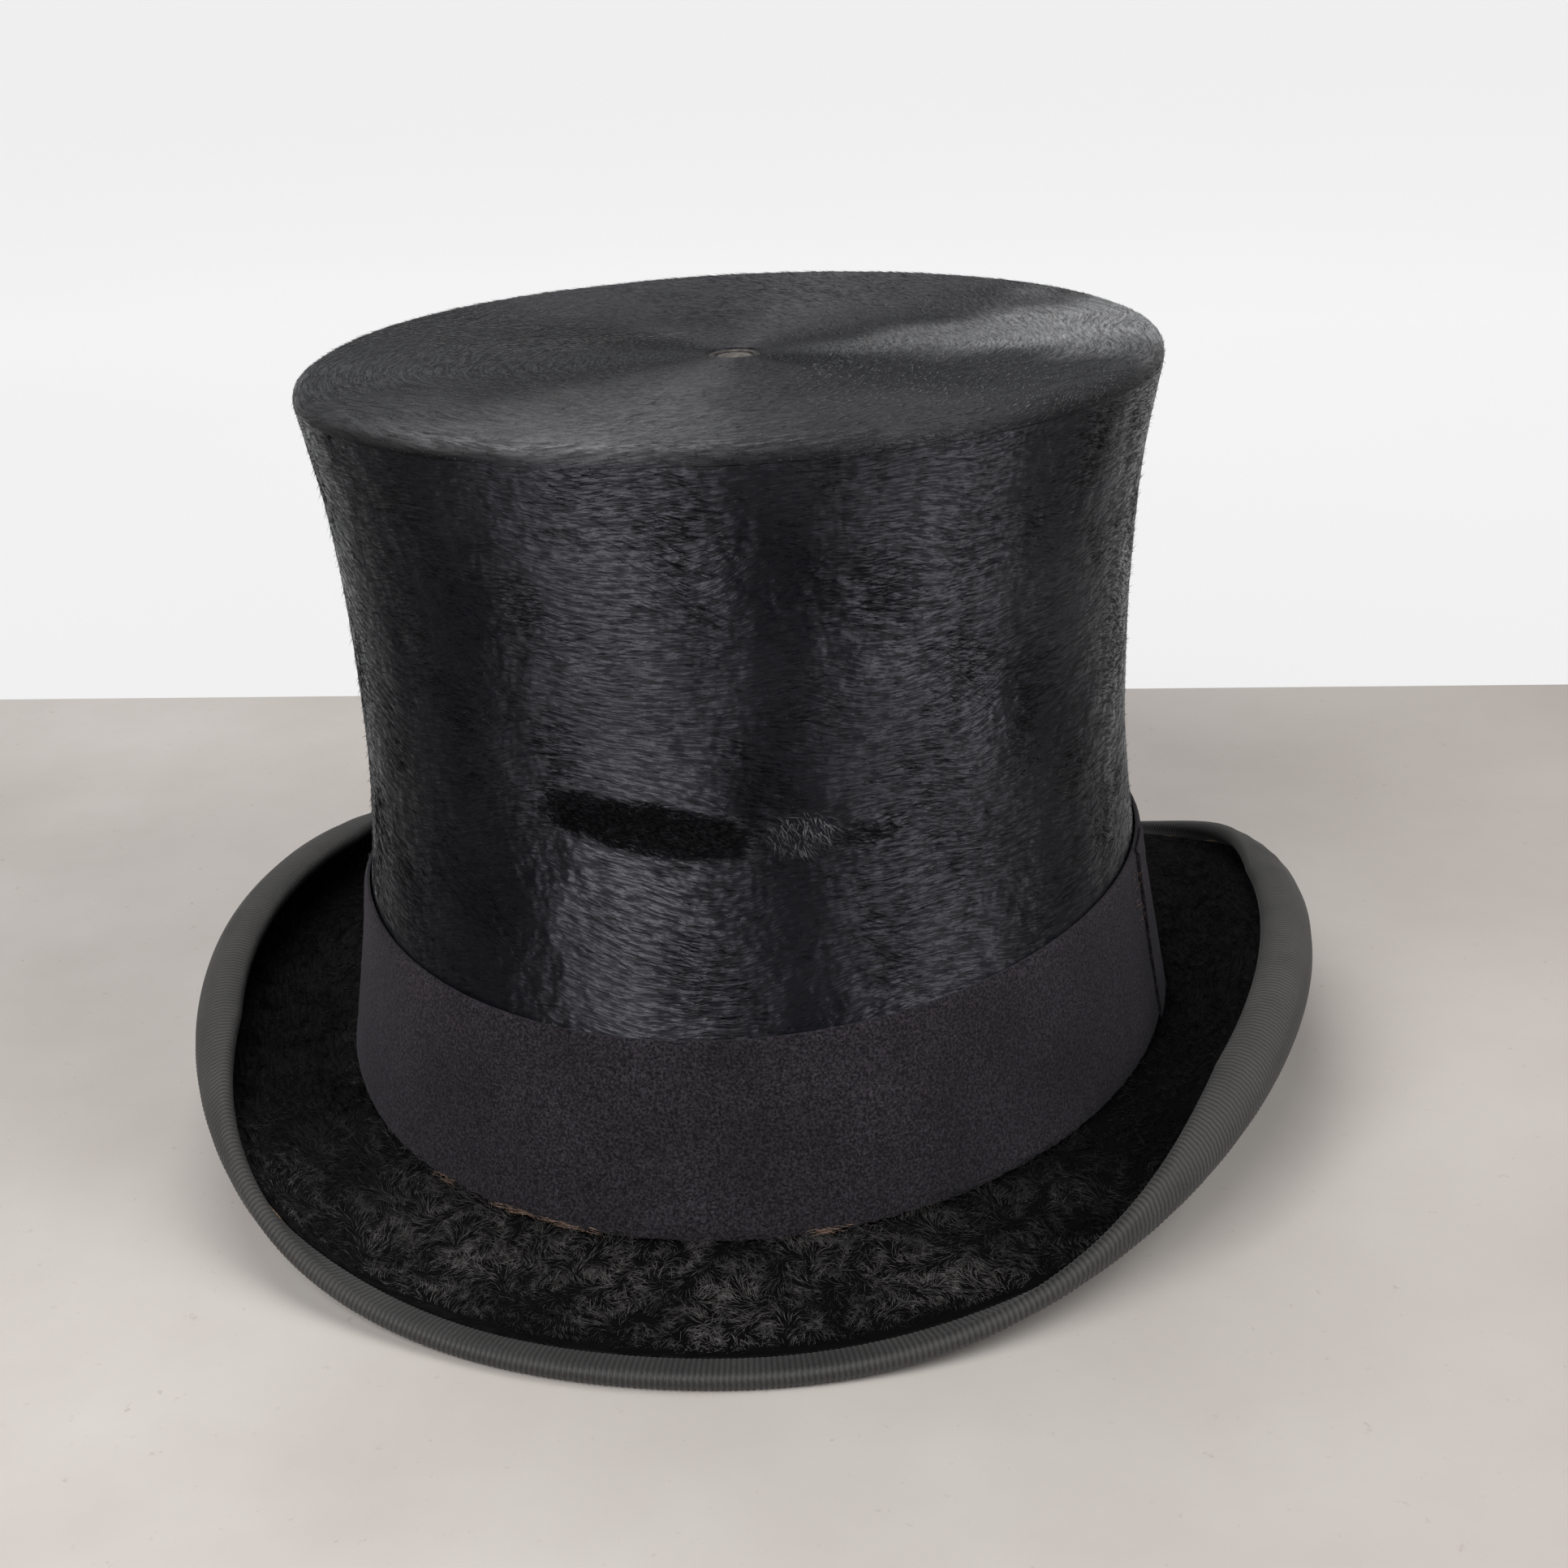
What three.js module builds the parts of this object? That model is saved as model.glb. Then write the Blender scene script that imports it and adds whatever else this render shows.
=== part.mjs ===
// Silk-plush top hat: rigid flared crown, curled brim, wide band, bound edge, leather sweatband,
// silk lining and a tip ventilator. Millimetres, +Z up, the wearer faces -Y, the floor is z = 0.
import * as THREE from 'three';
import { mergeVertices } from 'three/addons/utils/BufferGeometryUtils.js';

// ---- Driving dimensions -------------------------------------------------------------------

const clearance = 0.3; // between pieces that touch on the real hat
const stepsRound = 40; // sections round the hat

// Crown, measured on the outside of the plush.
const crownHeight = 161.2; // floor to the edge of the tip
const waistHalfWidth = 81.7;
const waistHeight = 82;
const tipHalfWidth = 88.3;
const footHalfWidth = 91.3; // half width where the crown meets the front of the brim
const tipFlarePower = 2.35;
const footFlarePower = 1.52;
const ovalExcess = 11.4; // half length less half width
const crownSquareness = 2.03; // 2 is an ellipse
const tipEdgeRadius = 4;
const tipSag = 2.5; // how far the middle of the tip lies below its edge

// Brim, measured on its middle surface.
const curlHalfWidth = 116.3; // to the centre of the side rolls
const curlHalfLength = 133.9;
const brimSquareness = 2.08;
const brimBreakFront = 7.6; // height of the brim where it meets the crown
const brimBreakSide = 10.9;
const breakPower = 1.7; // how that height changes from the front to the sides
const sideLift = 23.1; // how far the side rolls are carried up
const liftPower = 2.1;
const restHalfAngle = THREE.MathUtils.degToRad(10); // the brim lies flat on the floor within this
const edgeFlat = 5; // straight length of the brim just before its curl
const curlRadiusFront = 3.4;
const curlRadiusSide = 4.7;
const curlAngleSide = THREE.MathUtils.degToRad(180);
const curlPower = 2.2;
const curlFullness = 1.15; // share of the full curl, limited to 1, for each share of the way round
const curlForwardBias = 0.35; // the curl is fuller in front of the sides than behind them
const slopeAtCurlSide = THREE.MathUtils.degToRad(35);
const slopeAtCrownFront = THREE.MathUtils.degToRad(-4);
const slopeAtCrownSide = THREE.MathUtils.degToRad(10);

// Thicknesses.
const plushThickness = 1;
const gossThickness = 1.4;
const liningThickness = 0.6;
const collarThickness = 0.9;
const collarHeight = 14;
const sweatbandThickness = 1.3;
const sweatbandHeight = 46;
const reedThickness = 1.6;
const bandThickness = 1.2;
const bandEndThickness = 0.96;
const brimCoreThickness = 1.6;
const brimPlushThickness = 1.2;
const ribbonThickness = 0.8;

// Trim.
const bandHeightFront = 38.8;
const bandHeightSide = 39.7;
const bandEndFrom = THREE.MathUtils.degToRad(84);
const bandEndTo = THREE.MathUtils.degToRad(92);
const ribbonUnder = 14; // width of the binding below the edge
const ribbonOver = 4; // and above it
const ventHoleRadius = 5.9;
const eyeletFlangeRadius = 5.5;
const eyeletBarrelRadius = 4.5;
const eyeletWall = 0.5;
const eyeletFlangeThickness = 0.5;
const eyeletLength = 5;
const gauzeThickness = 0.4;
const washerRadius = 7;
const washerThickness = 0.7;
const bowHalfSpan = 14;
const bowThickness = 1.6;
const bowHeight = 7;
const bowLift = 10; // middle of the bow above the brim's break at the back
const bowShoulder = 0.75; // where a loop is widest, as a share of its half span
const bowPinch = 0.45; // height of a loop at the knot, as a share of its full height
const knotHalfWidth = 2.5;
const knotFullness = 0.7; // height of the knot, as a share of the loops' full height
const tailGap = 0.6; // half the gap between the tails at the knot
const tailWidth = 4.6;
const tailSpread = 3; // how far a tail leans outwards from top to foot
const tailLength = 7;
const tailSlant = 1.5; // the tails' feet are cut aslant by this

// Corners of the meshes.
const firstLevel = 34; // lowest height at which every layer of the crown has corners
const wallSteps = 5;
const tipEdgeSteps = 3;
const tipShares = [0.92, 0.65, 0.3]; // rings of the tip, as shares of its half width
const tipLiningShare = 0.97;
const curlReach = 22.4; // distance from the edge within which the brim can curl
const ribbonOverSteps = 2;
const ribbonUnderSteps = 5;
const rollSteps = 3;
const plateSteps = 3;
const edgeTurns = 4;
const bandEndSteps = 3;
const ventSteps = 20;
const smallAngle = 0.01; // for measuring directions
const smallShare = 0.001;
const tolerance = 1e-6;
const mergeDistance = 1e-4;

// ---- Shape of the crown and brim ----------------------------------------------------------

const gossDepth = plushThickness + clearance; // depths are measured in from the plush
const brimHoleDepth = gossDepth + gossThickness;
const liningDepth = brimHoleDepth + clearance;
const tipEdgeFoot = crownHeight - tipEdgeRadius;
const footGap = 1.5 * clearance; // under a layer that stands on the brim
const halfCore = brimCoreThickness / 2;
const skinOffset = halfCore + clearance; // offsets are measured from the brim's middle surface
const brimPlushTop = skinOffset + brimPlushThickness;
const bindingOffset = skinOffset + ribbonThickness;
const plushSetback = gossThickness + clearance; // the brim plush stops at the crown's plush
const plushStart = ribbonOver + 3 * clearance; // it faces the ribbon inside the tight curl

/** Point of an oval; angle 0 is the front and a quarter turn is the +X side. */
function ovalPoint(halfWidth, halfLength, squareness, angle) {
  const power = 2 / squareness;
  const across = Math.sin(angle);
  const along = Math.cos(angle);
  const x = halfWidth * Math.sign(across) * Math.abs(across) ** power;
  const y = -halfLength * Math.sign(along) * Math.abs(along) ** power;
  return new THREE.Vector2(x, y);
}

/** 0 at the front and back, 1 at the sides. */
function sideways(angle, power) {
  return Math.abs(Math.sin(angle)) ** power;
}

function mix(front, side, amount) {
  return front + (side - front) * amount;
}

/** Height of the brim's middle surface where it meets the crown. */
function brimBreak(angle) {
  return mix(brimBreakFront, brimBreakSide, sideways(angle, breakPower));
}

/** Lowest height at which a layer between two depths stands clear of an offset above the brim. */
function standingHeight(angle, outerDepth, innerDepth, offset) {
  const climb = Math.tan(slopeAtCrown(angle));
  const outerRise = climb * (brimHoleDepth - outerDepth);
  const innerRise = climb * (brimHoleDepth - innerDepth);
  return brimBreak(angle) + offset + footGap + Math.max(outerRise, innerRise);
}

/** Half width of the outside of the crown at a height. */
function crownHalfWidth(height) {
  const above = Math.max(0, (height - waistHeight) / (crownHeight - waistHeight));
  const below = Math.max(0, (waistHeight - height) / (waistHeight - brimBreakFront));
  const flare = (tipHalfWidth - waistHalfWidth) * above ** tipFlarePower;
  const spread = (footHalfWidth - waistHalfWidth) * below ** footFlarePower;
  return waistHalfWidth + flare + spread;
}

/** Point at a depth inside the crown's outer surface. */
function crownPoint(angle, height, depth) {
  const halfWidth = crownHalfWidth(height) - depth;
  const p = ovalPoint(halfWidth, halfWidth + ovalExcess, crownSquareness, angle);
  return new THREE.Vector3(p.x, p.y, height);
}

/** Point on a disc of the tip, at a share of the half width that is left inside the rounded edge. */
function tipPoint(angle, share, depth) {
  const halfWidth = (tipHalfWidth - tipEdgeRadius) * share;
  const excess = ovalExcess * Math.min(1, share);
  const p = ovalPoint(halfWidth, halfWidth + excess, crownSquareness, angle);
  const sag = tipSag * (1 - share * share);
  return new THREE.Vector3(p.x, p.y, crownHeight - depth - sag);
}

/** Point on the rounded edge between side and tip; turn runs from 0 at the side to a quarter turn. */
function tipEdgePoint(angle, turn, depth) {
  const radius = tipEdgeRadius - depth;
  const halfWidth = tipHalfWidth - tipEdgeRadius + radius * Math.cos(turn);
  const p = ovalPoint(halfWidth, halfWidth + ovalExcess, crownSquareness, angle);
  return new THREE.Vector3(p.x, p.y, crownHeight - tipEdgeRadius + radius * Math.sin(turn));
}

/** 0 within the flat rest at the front and back, 1 at the sides. */
function sidewaysPastRest(angle, power) {
  const flat = Math.sin(restHalfAngle);
  return (Math.max(0, Math.abs(Math.sin(angle)) - flat) / (1 - flat)) ** power;
}

/** Slope of the brim where it leaves the crown. */
function slopeAtCrown(angle) {
  return mix(slopeAtCrownFront, slopeAtCrownSide, sidewaysPastRest(angle, curlPower));
}

/** The brim's middle surface in the upright section at one angle. */
function brimSection(angle) {
  const lift = sidewaysPastRest(angle, liftPower);
  const curl = sidewaysPastRest(angle, curlPower);
  const radius = mix(curlRadiusFront, curlRadiusSide, curl);
  const slope = slopeAtCurlSide * curl;
  const fullness = curlFullness + curlForwardBias * Math.cos(angle);
  const sweep = curlAngleSide * Math.min(1, fullness * curl);
  const arcLength = radius * sweep;

  const edge = ovalPoint(curlHalfWidth, curlHalfLength, brimSquareness, angle);
  const ahead = ovalPoint(curlHalfWidth, curlHalfLength, brimSquareness, angle + smallAngle);
  const behind = ovalPoint(curlHalfWidth, curlHalfLength, brimSquareness, angle - smallAngle);
  const along = ahead.sub(behind).normalize();
  const outward = new THREE.Vector2(-along.y, along.x);
  if (outward.dot(edge) < 0) outward.negate();

  const centreHeight = bindingOffset + radius + sideLift * lift;
  const start = new THREE.Vector3(
    edge.x + outward.x * radius * Math.sin(slope),
    edge.y + outward.y * radius * Math.sin(slope),
    centreHeight - radius * Math.cos(slope),
  );
  const flatDirection = new THREE.Vector3(
    outward.x * Math.cos(slope),
    outward.y * Math.cos(slope),
    Math.sin(slope),
  );
  const flatStart = start.clone().addScaledVector(flatDirection, -edgeFlat);

  const foot = crownPoint(angle, brimBreak(angle), brimHoleDepth);
  const reach = new THREE.Vector2(flatStart.x - foot.x, flatStart.y - foot.y);
  const plateLength = reach.length();
  const plateDirection = reach.normalize();

  /** Middle point, direction outwards and normal at a distance from the edge. */
  function frameAt(distance) {
    if (distance < arcLength) {
      const turn = slope + (arcLength - distance) / radius;
      const centre = new THREE.Vector3(edge.x, edge.y, centreHeight);
      const point = new THREE.Vector3(
        centre.x + outward.x * radius * Math.sin(turn),
        centre.y + outward.y * radius * Math.sin(turn),
        centre.z - radius * Math.cos(turn),
      );
      return frame(point, outward, turn);
    }
    if (distance < arcLength + edgeFlat) {
      const back = distance - arcLength;
      return frame(start.clone().addScaledVector(flatDirection, -back), outward, slope);
    }
    const share = Math.max(0, 1 - (distance - arcLength - edgeFlat) / plateLength);
    const rise0 = Math.tan(slopeAtCrown(angle)) * plateLength;
    const rise1 = Math.tan(slope) * plateLength;
    const height = hermite(foot.z, rise0, flatStart.z, rise1, share);
    const ahead = hermite(foot.z, rise0, flatStart.z, rise1, share + smallShare);
    const climb = (ahead - height) / smallShare;
    const point = new THREE.Vector3(
      foot.x + plateDirection.x * plateLength * share,
      foot.y + plateDirection.y * plateLength * share,
      height,
    );
    return frame(point, plateDirection, Math.atan2(climb, plateLength));
  }

  function frame(point, flat, turn) {
    const tangent = new THREE.Vector3(
      flat.x * Math.cos(turn),
      flat.y * Math.cos(turn),
      Math.sin(turn),
    );
    const normal = new THREE.Vector3(
      -flat.x * Math.sin(turn),
      -flat.y * Math.sin(turn),
      Math.cos(turn),
    );
    return { point, tangent, normal };
  }

  return { frameAt, length: arcLength + edgeFlat + plateLength };
}

function hermite(from, slopeFrom, to, slopeTo, share) {
  const s2 = share * share;
  const s3 = s2 * share;
  return (2 * s3 - 3 * s2 + 1) * from
    + (s3 - 2 * s2 + share) * slopeFrom
    + (3 * s2 - 2 * s3) * to
    + (s3 - s2) * slopeTo;
}

/** Point of the brim at a distance from its edge and an offset above its middle surface. */
function brimPoint(section, distance, offset) {
  const { point, normal } = section.frameAt(distance);
  return ranked(point.clone().addScaledVector(normal, offset), distance);
}

/** Point on the rounded end of the brim; turn runs from below the edge to above it. */
function brimEdgePoint(section, radius, turn) {
  const { point, tangent, normal } = section.frameAt(0);
  const beyond = radius * Math.cos(turn);
  const onEdge = point.clone()
    .addScaledVector(tangent, beyond)
    .addScaledVector(normal, radius * Math.sin(turn));
  return ranked(onEdge, -beyond);
}

// ---- Mesh helpers -------------------------------------------------------------------------

/** Evenly spaced numbers from one value to another, both included. */
function spread(from, to, steps) {
  return Array.from({ length: steps + 1 }, (_, i) => from + (to - from) * (i / steps));
}

function solidFrom(positions, indices) {
  const geometry = new THREE.BufferGeometry();
  geometry.setAttribute('position', new THREE.Float32BufferAttribute(positions, 3));
  geometry.setIndex(indices);
  const merged = mergeVertices(geometry, mergeDistance);
  merged.computeVertexNormals();
  if (signedVolume(merged) < 0) flip(merged);
  return merged;
}

function signedVolume(geometry) {
  const at = geometry.getAttribute('position');
  const index = geometry.getIndex();
  const corners = [new THREE.Vector3(), new THREE.Vector3(), new THREE.Vector3()];
  let volume = 0;
  for (let i = 0; i < index.count; i += 3) {
    corners.forEach((corner, k) => corner.fromBufferAttribute(at, index.getX(i + k)));
    volume += corners[0].dot(corners[1].clone().cross(corners[2])) / 6;
  }
  return volume;
}

function flip(geometry) {
  const index = geometry.getIndex();
  for (let i = 0; i < index.count; i += 3) {
    const first = index.getX(i);
    index.setX(i, index.getX(i + 1));
    index.setX(i + 1, first);
  }
  geometry.computeVertexNormals();
}

/** Gives an outline point its place in the order that decides how faces are split. */
function ranked(point, rank) {
  return Object.assign(point, { rank });
}

function rankOf(point) {
  return point.rank ?? point.z;
}

/** Two triangles, split from the lower rank at one angle to the higher rank at the next, so that
 *  neighbouring layers with the same ranks keep an even gap. */
function splitFace(indices, a, b, c, d, rising) {
  if (rising) indices.push(a, b, c, a, c, d);
  else indices.push(a, b, d, b, c, d);
}

/** Closed ring: a closed outline at every angle, joined all the way round. */
function ringSolid(outlineAt) {
  const positions = [];
  const indices = [];
  const angles = spread(0, 2 * Math.PI, stepsRound).slice(0, -1);
  const outlines = angles.map(outlineAt);
  const corners = outlines[0].length;
  outlines.flat().forEach((p) => positions.push(p.x, p.y, p.z));
  outlines.forEach((outline, i) => {
    const next = (i + 1) % stepsRound;
    for (let k = 0; k < corners; k++) {
      const after = (k + 1) % corners;
      const a = i * corners + k;
      const b = next * corners + k;
      const c = next * corners + after;
      const d = i * corners + after;
      splitFace(indices, a, b, c, d, rankOf(outline[after]) > rankOf(outline[k]));
    }
  });
  return solidFrom(positions, indices);
}

/** Open stretch of a ring with flat ends, between two angles. */
function arcSolid(outlineAt, from, to, steps) {
  const positions = [];
  const indices = [];
  let corners = 0;
  spread(from, to, steps).forEach((angle) => {
    const outline = outlineAt(angle);
    corners = outline.length;
    outline.forEach((p) => positions.push(p.x, p.y, p.z));
  });
  for (let i = 0; i < steps; i++) {
    for (let k = 0; k < corners; k++) {
      const after = (k + 1) % corners;
      const a = i * corners + k;
      const b = (i + 1) * corners + k;
      const c = (i + 1) * corners + after;
      const d = i * corners + after;
      indices.push(a, b, c, a, c, d);
    }
  }
  const last = steps * corners;
  for (let k = 1; k < corners - 1; k++) {
    indices.push(0, k, k + 1);
    indices.push(last, last + k + 1, last + k);
  }
  return solidFrom(positions, indices);
}

function piece(name, geometry, color, roughness, metalness = 0) {
  const material = new THREE.MeshStandardMaterial({ color, roughness, metalness });
  const mesh = new THREE.Mesh(geometry, material);
  mesh.name = name;
  return mesh;
}

// ---- Crown --------------------------------------------------------------------------------

const levelsAbove = spread(firstLevel, tipEdgeFoot - clearance, wallSteps);

/** Wall of even thickness that follows the crown through the given heights. */
function wallOutline(angle, heights, outerDepth, thickness) {
  const outer = heights.map((z) => crownPoint(angle, z, outerDepth));
  const inner = heights.map((z) => crownPoint(angle, z, outerDepth + thickness));
  return [...outer, ...inner.reverse()];
}

/** Layer of the crown's whole side, from its own foot up to the tip's edge. */
function crownLayer(bottomAt, outerDepth, thickness) {
  return ringSolid((angle) => {
    const heights = [bottomAt(angle), ...levelsAbove];
    return wallOutline(angle, heights, outerDepth, thickness);
  });
}

/** Disc of the tip with a round hole for the ventilator and a rounded edge. */
function tipLayer(outerDepth, thickness, holeRadius) {
  const innerDepth = outerDepth + thickness;
  const turns = spread(0, Math.PI / 2, tipEdgeSteps);
  return ringSolid((angle) => {
    const hole = new THREE.Vector2(Math.sin(angle), -Math.cos(angle)).multiplyScalar(holeRadius);
    const holeShare = holeRadius / (tipHalfWidth - tipEdgeRadius);
    const sag = tipSag * (1 - holeShare * holeShare);
    const holeHeight = crownHeight - sag;
    return [
      ...turns.map((turn) => tipEdgePoint(angle, turn, outerDepth)),
      ...tipShares.map((share) => tipPoint(angle, share, outerDepth)),
      new THREE.Vector3(hole.x, hole.y, holeHeight - outerDepth),
      new THREE.Vector3(hole.x, hole.y, holeHeight - innerDepth),
      ...tipShares.map((share) => tipPoint(angle, share, innerDepth)).reverse(),
      ...turns.map((turn) => tipEdgePoint(angle, turn, innerDepth)).reverse(),
    ];
  });
}

function makeSidePlush() {
  const bottomAt = (angle) => standingHeight(angle, 0, plushThickness, brimPlushTop);
  return piece('side_plush', crownLayer(bottomAt, 0, plushThickness), 0x1b1b1f, 0.55);
}

function makeCrownSideShell() {
  const bottomAt = (angle) => standingHeight(angle, gossDepth, brimHoleDepth, halfCore);
  const geometry = crownLayer(bottomAt, gossDepth, gossThickness);
  return piece('crown_side_shell', geometry, 0x8a6a3a, 0.7);
}

function makeTipPlush() {
  return piece('tip_plush', tipLayer(0, plushThickness, ventHoleRadius), 0x2a2a2d, 0.6);
}

function makeCrownTipShell() {
  const geometry = tipLayer(gossDepth, gossThickness, eyeletBarrelRadius + clearance);
  return piece('crown_tip_shell', geometry, 0x8a6a3a, 0.7);
}

/** The collar stands inside the crown shell, over the joint between crown and brim. */
function makeBrimJointCollar() {
  const geometry = ringSolid((angle) => {
    const heights = [brimBreak(angle) - halfCore, brimBreak(angle) + collarHeight];
    return wallOutline(angle, heights, liningDepth, collarThickness);
  });
  return piece('brim_joint_collar', geometry, 0xb9a888, 0.85);
}

function makeSideLining() {
  const bottomAt = (angle) => brimBreak(angle) + collarHeight + clearance;
  const geometry = crownLayer(bottomAt, liningDepth, liningThickness);
  return piece('side_lining', geometry, 0xd9d3c4, 0.45);
}

/** Flat silk disc under the tip shell, kept inside the side lining. */
function makeTipLining() {
  const shares = [tipLiningShare, ...tipShares.slice(1)];
  const geometry = ringSolid((angle) => {
    const holeRadius = eyeletBarrelRadius + clearance;
    const hole = new THREE.Vector2(Math.sin(angle), -Math.cos(angle)).multiplyScalar(holeRadius);
    const holeHeight = crownHeight - tipSag;
    const low = liningDepth + liningThickness;
    return [
      ...shares.map((share) => tipPoint(angle, share, liningDepth)),
      new THREE.Vector3(hole.x, hole.y, holeHeight - liningDepth),
      new THREE.Vector3(hole.x, hole.y, holeHeight - low),
      ...shares.map((share) => tipPoint(angle, share, low)).reverse(),
    ];
  });
  return piece('tip_lining', geometry, 0xd9d3c4, 0.45);
}

// ---- Head opening -------------------------------------------------------------------------

const sweatbandDepth = liningDepth + collarThickness + clearance;
const sweatbandDrop = bindingOffset;

function makeSweatband() {
  const geometry = ringSolid((angle) => {
    const low = brimBreak(angle) - sweatbandDrop;
    const heights = [low, firstLevel, low + sweatbandHeight];
    return wallOutline(angle, heights, sweatbandDepth, sweatbandThickness);
  });
  return piece('sweatband', geometry, 0x7b4a2a, 0.5);
}

/** The reed lies under the sweatband's lower edge. */
function makeSweatbandReed() {
  const geometry = ringSolid((angle) => {
    const high = brimBreak(angle) - sweatbandDrop - clearance;
    return wallOutline(angle, [high - reedThickness, high], sweatbandDepth, reedThickness);
  });
  return piece('sweatband_reed', geometry, 0xc8a468, 0.6);
}

/** Flat ribbon outline lying against the inside of the sweatband at the back. */
function bowPiece(name, outline) {
  const depth = sweatbandDepth + sweatbandThickness + clearance;
  const base = brimBreak(Math.PI) + bowLift;
  const front = crownPoint(Math.PI, base, depth).y - bowThickness - clearance;
  const shape = new THREE.Shape(outline.map(([x, z]) => new THREE.Vector2(x, z)));
  const geometry = new THREE.ExtrudeGeometry(shape, { depth: bowThickness, bevelEnabled: false });
  geometry.deleteAttribute('normal');
  geometry.deleteAttribute('uv');
  geometry.rotateX(Math.PI / 2);
  geometry.translate(0, front, base);
  return piece(name, mergeVertices(geometry, mergeDistance), 0x1d1d20, 0.4);
}

/** The small ribbon bow over the sweatband's back seam. */
function makeBow() {
  const half = bowHeight / 2;
  const inner = knotHalfWidth + clearance;
  const loop = (side) => [
    [side * inner, -half * bowPinch],
    [side * bowHalfSpan * bowShoulder, -half],
    [side * bowHalfSpan, 0],
    [side * bowHalfSpan * bowShoulder, half],
    [side * inner, half * bowPinch],
  ];
  const tailTop = -half - clearance;
  const tailOuter = tailGap + tailWidth;
  const tail = (side) => [
    [side * tailGap, tailTop],
    [side * tailOuter, tailTop],
    [side * (tailOuter + tailSpread), tailTop - tailLength],
    [side * (tailGap + tailSpread), tailTop - tailLength + tailSlant],
  ];
  const knot = [
    [-knotHalfWidth, -half * knotFullness],
    [knotHalfWidth, -half * knotFullness],
    [knotHalfWidth, half * knotFullness],
    [-knotHalfWidth, half * knotFullness],
  ];
  return [
    bowPiece('bow_knot', knot),
    bowPiece('bow_loop_left', loop(1)),
    bowPiece('bow_loop_right', loop(-1)),
    bowPiece('bow_tail_left', tail(1)),
    bowPiece('bow_tail_right', tail(-1)),
  ];
}

// ---- Brim ---------------------------------------------------------------------------------

/** Distances from the edge at which every layer of the brim has its corners. */
function brimStops(section) {
  return [
    ...spread(0, ribbonOver, ribbonOverSteps),
    ...spread(plushStart, ribbonUnder, ribbonUnderSteps),
    ...spread(ribbonUnder + clearance, curlReach, rollSteps),
    ...spread(curlReach, section.length - plushSetback, plateSteps).slice(1),
    section.length,
  ];
}

function stopsWithin(section, from, to) {
  return brimStops(section).filter((d) => d > from - tolerance && d < to + tolerance);
}

/** Sheet that follows the brim, from a distance inside its edge to a setback from the crown. */
function brimLayer(from, setback, low, high) {
  return ringSolid((angle) => {
    const section = brimSection(angle);
    const distances = stopsWithin(section, from, section.length - setback);
    const under = distances.map((d) => brimPoint(section, d, low));
    const over = distances.map((d) => brimPoint(section, d, high));
    return [...under, ...over.reverse()];
  });
}

function makeBrimShell() {
  return piece('brim_shell', brimLayer(0, 0, -halfCore, halfCore), 0x8a6a3a, 0.7);
}

function makeBrimPlush() {
  const geometry = brimLayer(plushStart, plushSetback, skinOffset, brimPlushTop);
  return piece('brim_plush', geometry, 0x222123, 0.8);
}

function makeUnderbrimCloth() {
  const geometry = brimLayer(ribbonUnder + clearance, 0, -bindingOffset, -skinOffset);
  return piece('underbrim_cloth', geometry, 0x242326, 0.9);
}

/** Ribbon folded over the edge: under leg, round the edge, short upper leg, and back. */
function makeBrimBinding() {
  const turns = spread(-Math.PI / 2, Math.PI / 2, edgeTurns).slice(1, -1);
  const geometry = ringSolid((angle) => {
    const section = brimSection(angle);
    const under = stopsWithin(section, 0, ribbonUnder).reverse();
    const over = stopsWithin(section, 0, ribbonOver);
    return [
      ...under.map((d) => brimPoint(section, d, -bindingOffset)),
      ...turns.map((turn) => brimEdgePoint(section, bindingOffset, turn)),
      ...over.map((d) => brimPoint(section, d, bindingOffset)),
      ...over.map((d) => brimPoint(section, d, skinOffset)).reverse(),
      ...turns.map((turn) => brimEdgePoint(section, skinOffset, turn)).reverse(),
      ...under.map((d) => brimPoint(section, d, -skinOffset)).reverse(),
    ];
  });
  return piece('brim_binding', geometry, 0x4a4a4c, 0.7);
}

// ---- Band ---------------------------------------------------------------------------------

function bandOutline(angle, innerDepth, thickness) {
  const low = standingHeight(angle, innerDepth - thickness, innerDepth, brimPlushTop);
  const high = low + mix(bandHeightFront, bandHeightSide, sideways(angle, breakPower));
  return wallOutline(angle, [low, firstLevel, high], innerDepth - thickness, thickness);
}

function makeHatBand() {
  const geometry = ringSolid((angle) => bandOutline(angle, -clearance, bandThickness));
  return piece('hat_band', geometry, 0x242226, 0.95);
}

/** The cut end of the band, lapped over itself at the +X side. */
function makeHatBandEnd() {
  const depth = -bandThickness - 2 * clearance;
  const outlineAt = (angle) => bandOutline(angle, depth, bandEndThickness);
  const geometry = arcSolid(outlineAt, bandEndFrom, bandEndTo, bandEndSteps);
  return piece('hat_band_end', geometry, 0x242226, 0.95);
}

// ---- Ventilator ---------------------------------------------------------------------------

const ventTop = crownHeight - tipSag - gossDepth + clearance; // underside of the flange

/** Turned ring from a closed outline of radius and height. */
function turned(name, outline, color, roughness, metalness) {
  const closed = [...outline, outline[0]].map(([r, z]) => new THREE.Vector2(r, z));
  const geometry = new THREE.LatheGeometry(closed, ventSteps);
  geometry.rotateX(Math.PI / 2);
  geometry.deleteAttribute('normal');
  geometry.deleteAttribute('uv');
  const merged = mergeVertices(geometry, mergeDistance);
  if (signedVolume(merged) < 0) flip(merged);
  return piece(name, merged, color, roughness, metalness);
}

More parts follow.
